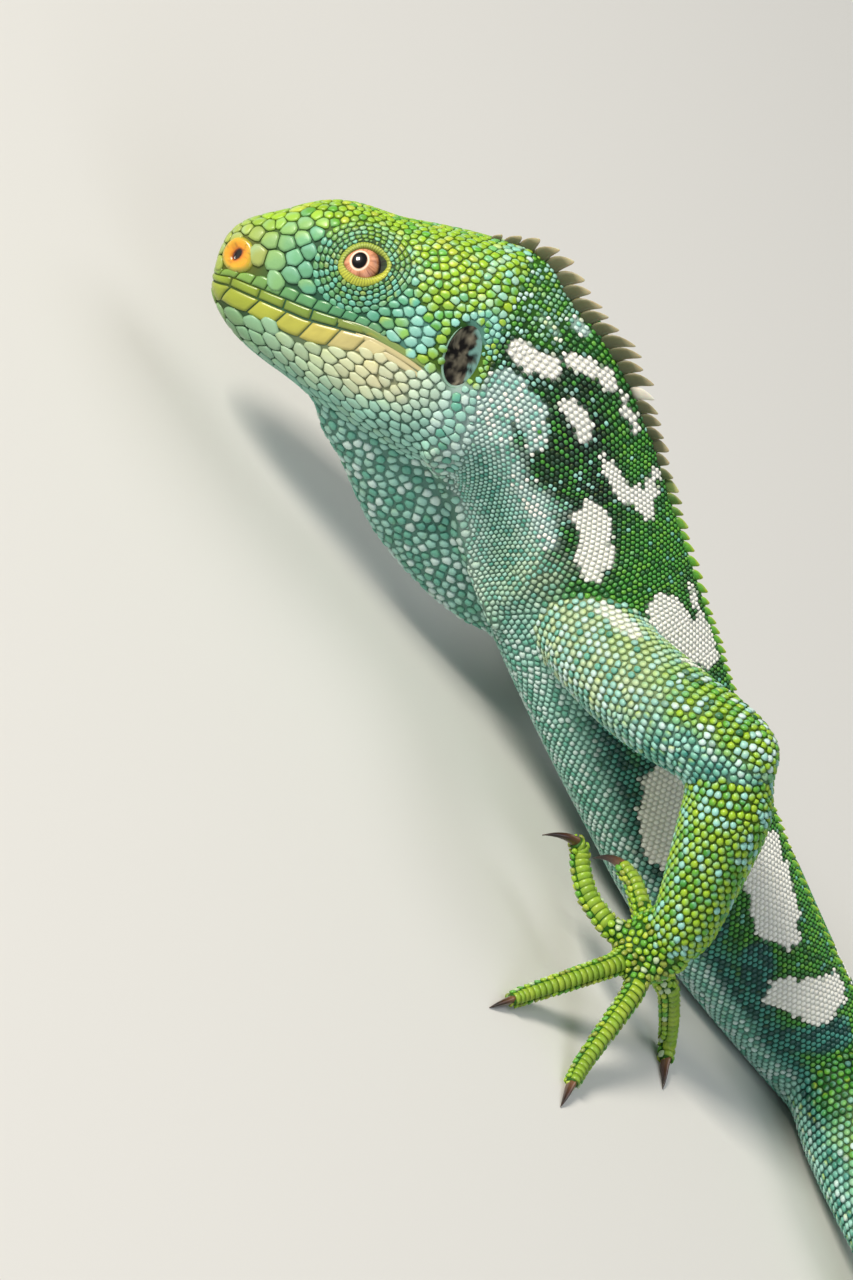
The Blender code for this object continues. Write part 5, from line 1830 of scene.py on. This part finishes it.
def digit_rows(path):
    """Places along a digit, the way along it, up from it and to its side."""
    rows = smooth_line(path, SCUTE_LENGTH)
    ways = unit(np.gradient(rows, axis=0))
    lifted = np.array(((0.0, 0.6 * np.sign(path[0][1]), 0.8),))
    ups = flattened(lifted, ways)
    return rows, ways, ups, np.cross(ways, ups)


def on_digit_top(points):
    """Which points lie on top of a digit, where broad scales go."""
    found = np.zeros(len(points), bool)
    for digits in DIGITS.values():
        for path, _ in digits:
            rows, ways, ups, _ = (values[KNUCKLE_ROWS:] for values in digit_rows(path))
            near = ((points - rows.mean(axis=0)) ** 2).sum(1) < 30**2
            if not near.any():
                continue
            spots = points[near]
            index = ((spots[:, None] - rows[None]) ** 2).sum(2).argmin(axis=1)
            away = spots - rows[index]
            along = (away * ways[index]).sum(1)
            radial = away - ways[index] * along[:, None]
            reach = norms(radial)
            top = (radial * ups[index]).sum(1) > reach * math.cos(math.radians(SCUTE_HALF + 4))
            found[near] |= top & (reach < 2.8) & (np.abs(along) < 1.0)
    return found


def scute(skin, row, way, up, side, colour):
    """One broad scale over the top of a digit, its far edge standing a little over the next, with painted
    shade where it sinks into the skin.
    """
    turn = np.radians(np.linspace(-SCUTE_HALF, SCUTE_HALF, 11))
    # Rows across the scale: how far along, how high, and the painted shade of each, darker where a row sinks
    # into the skin.
    parts = ((-0.5, -0.25, 0.35), (-0.36, 0.12, 0.75), (0.1, 0.22, 1.0), (0.46, 0.34, 1.0), (0.6, -0.1, 0.3))
    spokes = spokes_of(turn, up, side)
    across = np.abs(np.linspace(-1, 1, 11))
    rounding = 1 - across**4
    points, shades = [], []
    for share, rise, shade in parts:
        starts = row + way * ((share - 0.16 * across**2) * SCUTE_LENGTH)[:, None]
        hits = skin.cast(starts, spokes, 4.5)
        if not np.isfinite(hits).all():
            return None
        lift = np.where(rise > 0, rise * rounding - 0.2 * (1 - rounding), rise)
        points.append(hits + spokes * lift[:, None])
        # Painted shade at the sides, where the scale bends down into the skin.
        shades.append(np.where(rounding > 0.05, shade, 0.35))
    return np.concatenate(points), grid_faces(5, 11), np.concatenate(shades)[:, None] * colour


class IGUANA_OT_digits(bpy.types.Operator):
    """Lays the broad scales over the digits and sets the hooked claws at their ends"""

    bl_idname = "iguana.digits"
    bl_label = "Digits and claws"

    def execute(self, context):
        skin = current_skin()
        rng = np.random.default_rng(SEED + 3)
        for name, digits in DIGITS.items():
            parts = []
            for number, (path, droop) in enumerate(digits, 1):
                for place in list(zip(*digit_rows(path)))[KNUCKLE_ROWS:]:
                    green = COLOUR["lemon"] + (COLOUR["leaf"] - COLOUR["lemon"]) * (0.25 + 0.3 * rng.random())
                    made = scute(skin, *place, green * (0.78 + 0.16 * rng.random()))
                    if made:
                        parts.append(made)
                self.claw(f"{name}_claw_{number}", path, droop)
            put_coat(f"scutes_{name}", parts, "keratin scales", FLESH.index(name))
        return {"FINISHED"}

    def claw(self, name, path, droop):
        """A claw curved down from the end of its digit, deep and narrow, dark towards its point, with a
        painted highlight along its top.
        """
        end = smooth_line(path, 1.0)
        heading = Vector(unit(end[-1] - end[-2]))
        across = heading.cross(Vector((0, 0, 1))).normalized()
        place = Vector(end[-1]) - heading * CLAW_SUNK
        turn = round_turn(16)
        rings, tints = [], []
        for index in range(CLAW_STEPS + 1):
            share = index / CLAW_STEPS
            radius = max(0.13, CLAW_RADIUS * (1 - share) ** 0.85 * (1 + 0.25 * share))
            above = across.cross(heading)
            at = Vector((place.x, place.y, max(place.z, 0.9 * radius + 0.05)))
            rings.append(np.array(at) + spokes_of(turn, np.array(across) * 0.72, np.array(above)) * radius)
            # Painted highlight: a pale streak along the top of the claw.
            gleam = 0.75 + 0.5 * np.clip(np.sin(turn), 0, 1) ** 4
            tints.append(shaded(CLAW_SHADES, share) * gleam[:, None])
            heading = Matrix.Rotation(-math.radians(1.3 * droop) / CLAW_STEPS, 3, across) @ heading
            place = place + heading * (CLAW_LENGTH + CLAW_SUNK) / CLAW_STEPS
        put_coat(f"{name}_horn", [(*swept(rings), np.concatenate(tints))], "claw horn",
                 FLESH.index(name.rsplit("_claw", 1)[0]), (name,))


SPINE_GAP = 3
SPINE_HEIGHTS = (
    (0, 1.5), (8, 3.4), (16, 4.6), (38, 4.5), (48, 3.5), (60, 2.4), (76, 1.8), (110, 1.3), (220, 0.9),
)
SPINE_BASE = 3.2
WHITE_SPINE = 43  # how far behind the nape the one white spine stands


class IGUANA_OT_crest(bpy.types.Operator):
    """Stands the crest of leaning spines along the nape and back"""

    bl_idname = "iguana.crest"
    bl_label = "Crest"

    def execute(self, context):
        skin = current_skin()
        tops = skin.nearest(smooth_line(ridge_line(), 1.0))[0]
        lengths = np.concatenate([[0.0], np.cumsum(norms(np.diff(tops, axis=0)))])
        rng = np.random.default_rng(SEED + 4)
        parts = []
        distance = 0.5
        while distance < lengths[-1] - 2:
            height = float(np.interp(distance, *zip(*SPINE_HEIGHTS)))
            at, later = (np.array([np.interp(d, lengths, axis) for axis in tops.T])
                         for d in (distance, distance + 2))
            ahead = unit(later - at)
            parts.append(self.spine(at, ahead, height * (0.8 + 0.32 * rng.random()), distance, rng))
            distance += SPINE_GAP * (1.0 if height > 1.6 else 0.72) * (0.94 + 0.12 * rng.random())
        put_coat("crest", parts, "translucent crest horn", 3)
        return {"FINISHED"}

    def spine(self, at, ahead, height, distance, rng):
        """One spine: a flat blade with a broad root, leaning back to a blunt hooked point, its edges paler as
        painted light through the thin blade.
        """
        side = np.array((0.0, 1.0, 0.0))
        up = unit(np.cross(ahead, side))
        turn = round_turn(12)
        pale = abs(distance - WHITE_SPINE) < 1.6
        green = step_up(distance, 56, 80)
        root = srgb("#35401F") * (1 - green) + COLOUR["green"] * 0.6 * green
        body = srgb("#E2DCCB" if pale else "#4E5232") * (1 - green) + COLOUR["leaf"] * green
        tip = srgb("#F0EBDD" if pale else "#B9B08A") * (1 - green) + COLOUR["lemon"] * green
        lean = 0.6 + 0.3 * (rng.random() - 0.5)
        base = min(SPINE_BASE, 1.15 * height + 0.4)
        rings, tints = [], []
        for share in (-0.28, 0.0, 0.2, 0.42, 0.64, 0.82, 0.94, 1.0):
            raised = max(share, 0)
            half = base / 2 * (1 - raised**2.5) ** 0.6 if raised < 1 else 0.08
            thick = max(0.1, 0.62 * (1 - raised**0.9))
            middle = at + up * height * share + ahead * height * lean * raised**2.1
            rings.append(middle + spokes_of(turn, ahead * max(half, 0.14), side * min(thick, half + 0.05)))
            tone = root + (body - root) * min(1, raised / 0.35)
            tone = tone + (tip - tone) * step_up(raised, 0.55, 1)
            # Painted light shining through the thin blade: paler towards its front and back edges.
            edge = 0.6 * np.abs(np.cos(turn)) ** 7 * min(1, 2.5 * raised)
            tints.append(blended(tone, tip, edge))
        return (*swept(rings), np.clip(np.concatenate(tints), 0, 1))


class IGUANA_PG_sizes(bpy.types.PropertyGroup):
    skin_grain: bpy.props.FloatProperty(
        name="Skin grain", description="Edge length of the skin's mesh", default=0.8 * MM, unit="LENGTH"
    )
    coat_depth: bpy.props.FloatProperty(
        name="Coat depth", description="How deep the skin lies under the tips of the scales",
        default=0.3 * MM, unit="LENGTH",
    )


class IGUANA_PG_colours(bpy.types.PropertyGroup):
    __annotations__ = {
        name: bpy.props.FloatVectorProperty(
            name=name.capitalize(), description=f"The {name} of the scales", default=tuple(srgb(text)),
            size=3, min=0, max=1, subtype="COLOR",
        )
        for name, text in PALETTE.items()
    }


class IGUANA_PT_maker(bpy.types.Panel):
    """Lists the pieces in the order of making, with the sizes and colours"""

    bl_label = "Iguana"
    bl_space_type = "VIEW_3D"
    bl_region_type = "UI"
    bl_category = "Iguana"

    def draw(self, context):
        for kind in CLASSES:
            if issubclass(kind, bpy.types.Operator):
                self.layout.operator(kind.bl_idname)
        for group, named in (("iguana_sizes", IGUANA_PG_sizes), ("iguana_colours", IGUANA_PG_colours)):
            for name in named.__annotations__:
                self.layout.prop(getattr(context.scene, group), name)


CAMERA_TURN, CAMERA_LIFT, CAMERA_ROLL = 15, 25, 57.2  # in degrees
CAMERA_AWAY = 0.9  # in metres
CAMERA_LENS = 4500 / 1280  # the focal length over the frame's long side
# Each lamp: the way to it, how far off, its power, its size and its colour.
LAMPS = {
    "key": ((-1.19, -0.51, 0.75), 2.2, 58, 0.5, "#FFF6EA"),
    "fill": ((0.5, -0.85, 0.6), 2.4, 9, 1.4, "#EAF2FF"),
    "top": ((0.2, 0.4, 1.2), 2.4, 13, 1.6, "#FFFFFF"),
}


class IGUANA_OT_stage(bpy.types.Operator):
    """Sets the floor, the soft studio light and the camera"""

    bl_idname = "iguana.stage"
    bl_label = "Stage"

    def execute(self, context):
        self.camera(context.scene)
        floor = bmesh.new()
        bmesh.ops.create_grid(floor, x_segments=1, y_segments=1, size=6)
        ground = linked("floor", mesh_from(floor, "floor"))
        ground.data.materials.append(bpy.data.materials["pale studio floor"])
        middle = Vector(to_frame((-10, -10, 35)))
        for name, (way, away, power, size, colour) in LAMPS.items():
            light = bpy.data.lights.new(name, "AREA")
            light.energy = power
            light.size = size
            light.color = srgb(colour)
            lamp = linked(name, light)
            lamp.location = middle + Vector(way).normalized() * away
            lamp.rotation_euler = (middle - lamp.location).to_track_quat("-Z", "Y").to_euler()
        context.scene.view_settings.view_transform = "Standard"
        world = bpy.data.worlds.new("studio")
        world.use_nodes = True
        glow = world.node_tree.nodes["Background"].inputs
        glow["Color"].default_value = (*srgb("#E9EDF0"), 1)
        glow["Strength"].default_value = 0.28
        context.scene.world = world
        return {"FINISHED"}

    def camera(self, scene):
        """The camera: before and above the animal's left side, and rolled over with it."""
        a, e, rho = (math.radians(angle) for angle in (CAMERA_TURN, CAMERA_LIFT, CAMERA_ROLL))
        towards = Vector((-math.sin(a) * math.cos(e), -math.cos(a) * math.cos(e), math.sin(e)))
        flat = Vector((math.cos(a), -math.sin(a), 0))
        rising = Vector((math.sin(a) * math.sin(e), math.cos(a) * math.sin(e), math.cos(e)))
        right = math.cos(rho) * flat + math.sin(rho) * rising
        down = math.sin(rho) * flat - math.cos(rho) * rising
        lens = bpy.data.cameras.new("camera")
        lens.sensor_width = 36
        lens.lens = CAMERA_LENS * lens.sensor_width
        lens.clip_end = 20
        scene.camera = linked("camera", lens)
        turn = Matrix((right, -down, towards)).transposed().to_4x4()
        place = Vector(to_frame((0, 0, 1.2))) + towards * CAMERA_AWAY
        scene.camera.matrix_world = Matrix.Translation(place) @ turn


# Each look: its name, a value for each of these sockets, and its fine relief in millimetres.
LOOK_SOCKETS = ("Roughness", "Specular IOR Level", "Coat Weight", "Coat Roughness", "Subsurface Weight")
LOOKS = (
    # Thin dry skin that nothing polishes: dull, so that the domes on it stand clear.
    ("between the scales", (0.6, 0.3, 0, 0.1, 0), 0),
    # Dry horn with a faint natural polish: a soft gleam on each dome, broken by a fine grain.
    ("keratin scales", (0.4, 0.5, 0.12, 0.25, 0), 0.03),
    # The same horn rubbed smooth along the mouth: longer and brighter gleams.
    ("smooth lip plates", (0.34, 0.5, 0.2, 0.2, 0), 0.02),
    # Swollen skin kept damp by the breath: small sharp gleams over a soft glow.
    ("moist nostril skin", (0.32, 0.5, 0.35, 0.15, 0.1), 0.03),
    # A thin dry membrane: nearly matt, so the ear stays dark.
    ("stretched eardrum", (0.62, 0.15, 0, 0.2, 0), 0.04),
    # A film of tears over clear tissue: the one mirror-sharp highlight on the animal.
    ("wet cornea over the iris", (0.3, 0.1, 0.7, 0.03, 0), 0),
    # Solid horn worn smooth by climbing: a narrow highlight down each hook.
    ("claw horn", (0.28, 0.5, 0.4, 0.12, 0), 0.02),
    # Thin blades that let a little light through, which softens their shadows.
    ("translucent crest horn", (0.42, 0.5, 0.15, 0.2, 0.2), 0.02),
)


def new_look(name):
    """A material of that name, with its tree of nodes and its shader's sockets."""
    made = bpy.data.materials.new(name)
    made.use_nodes = True
    return made.node_tree, made.node_tree.nodes["Principled BSDF"].inputs


def looks():
    """The materials, before any piece takes one: each carries the coat's colours with its own shine."""
    for name, values, relief in LOOKS:
        tree, sockets = new_look(name)
        colour = add_node(tree, "ShaderNodeVertexColor", layer_name="coat")
        tree.links.new(colour.outputs["Color"], sockets["Base Color"])
        for socket, value in zip(LOOK_SOCKETS, values):
            sockets[socket].default_value = value
        sockets["Subsurface Scale"].default_value = 0.8 * MM
        if relief:
            place = add_node(tree, "ShaderNodeTexCoord")
            grain = add_node(tree, "ShaderNodeTexNoise",
                             {"Vector": place.outputs["Object"], "Scale": 2.2 / MM, "Detail": 2.0})
            bump = add_node(tree, "ShaderNodeBump",
                            {"Height": grain.outputs["Fac"], "Distance": relief * MM, "Strength": 1.0})
            tree.links.new(bump.outputs["Normal"], sockets["Normal"])
    _, sockets = new_look("pale studio floor")  # matt painted board, which takes soft shadows
    sockets["Base Color"].default_value = (*srgb("#DEDEDA"), 1)
    sockets["Roughness"].default_value = 0.9


CLASSES = (
    IGUANA_PG_sizes, IGUANA_PG_colours, IGUANA_OT_skin, IGUANA_OT_scales, IGUANA_OT_eyes, IGUANA_OT_face,
    IGUANA_OT_digits, IGUANA_OT_crest, IGUANA_OT_stage, IGUANA_PT_maker,
)


def register():
    for kind in CLASSES:
        bpy.utils.register_class(kind)
    bpy.types.Scene.iguana_sizes = bpy.props.PointerProperty(type=IGUANA_PG_sizes)
    bpy.types.Scene.iguana_colours = bpy.props.PointerProperty(type=IGUANA_PG_colours)


def unregister():
    del bpy.types.Scene.iguana_sizes
    del bpy.types.Scene.iguana_colours
    for kind in reversed(CLASSES):
        bpy.utils.unregister_class(kind)


def main():
    register()
    looks()
    bpy.ops.iguana.skin()
    bpy.ops.iguana.scales()
    bpy.ops.iguana.eyes()
    bpy.ops.iguana.face()
    bpy.ops.iguana.digits()
    bpy.ops.iguana.crest()
    bpy.ops.iguana.stage()


if __name__ == "__main__":
    main()
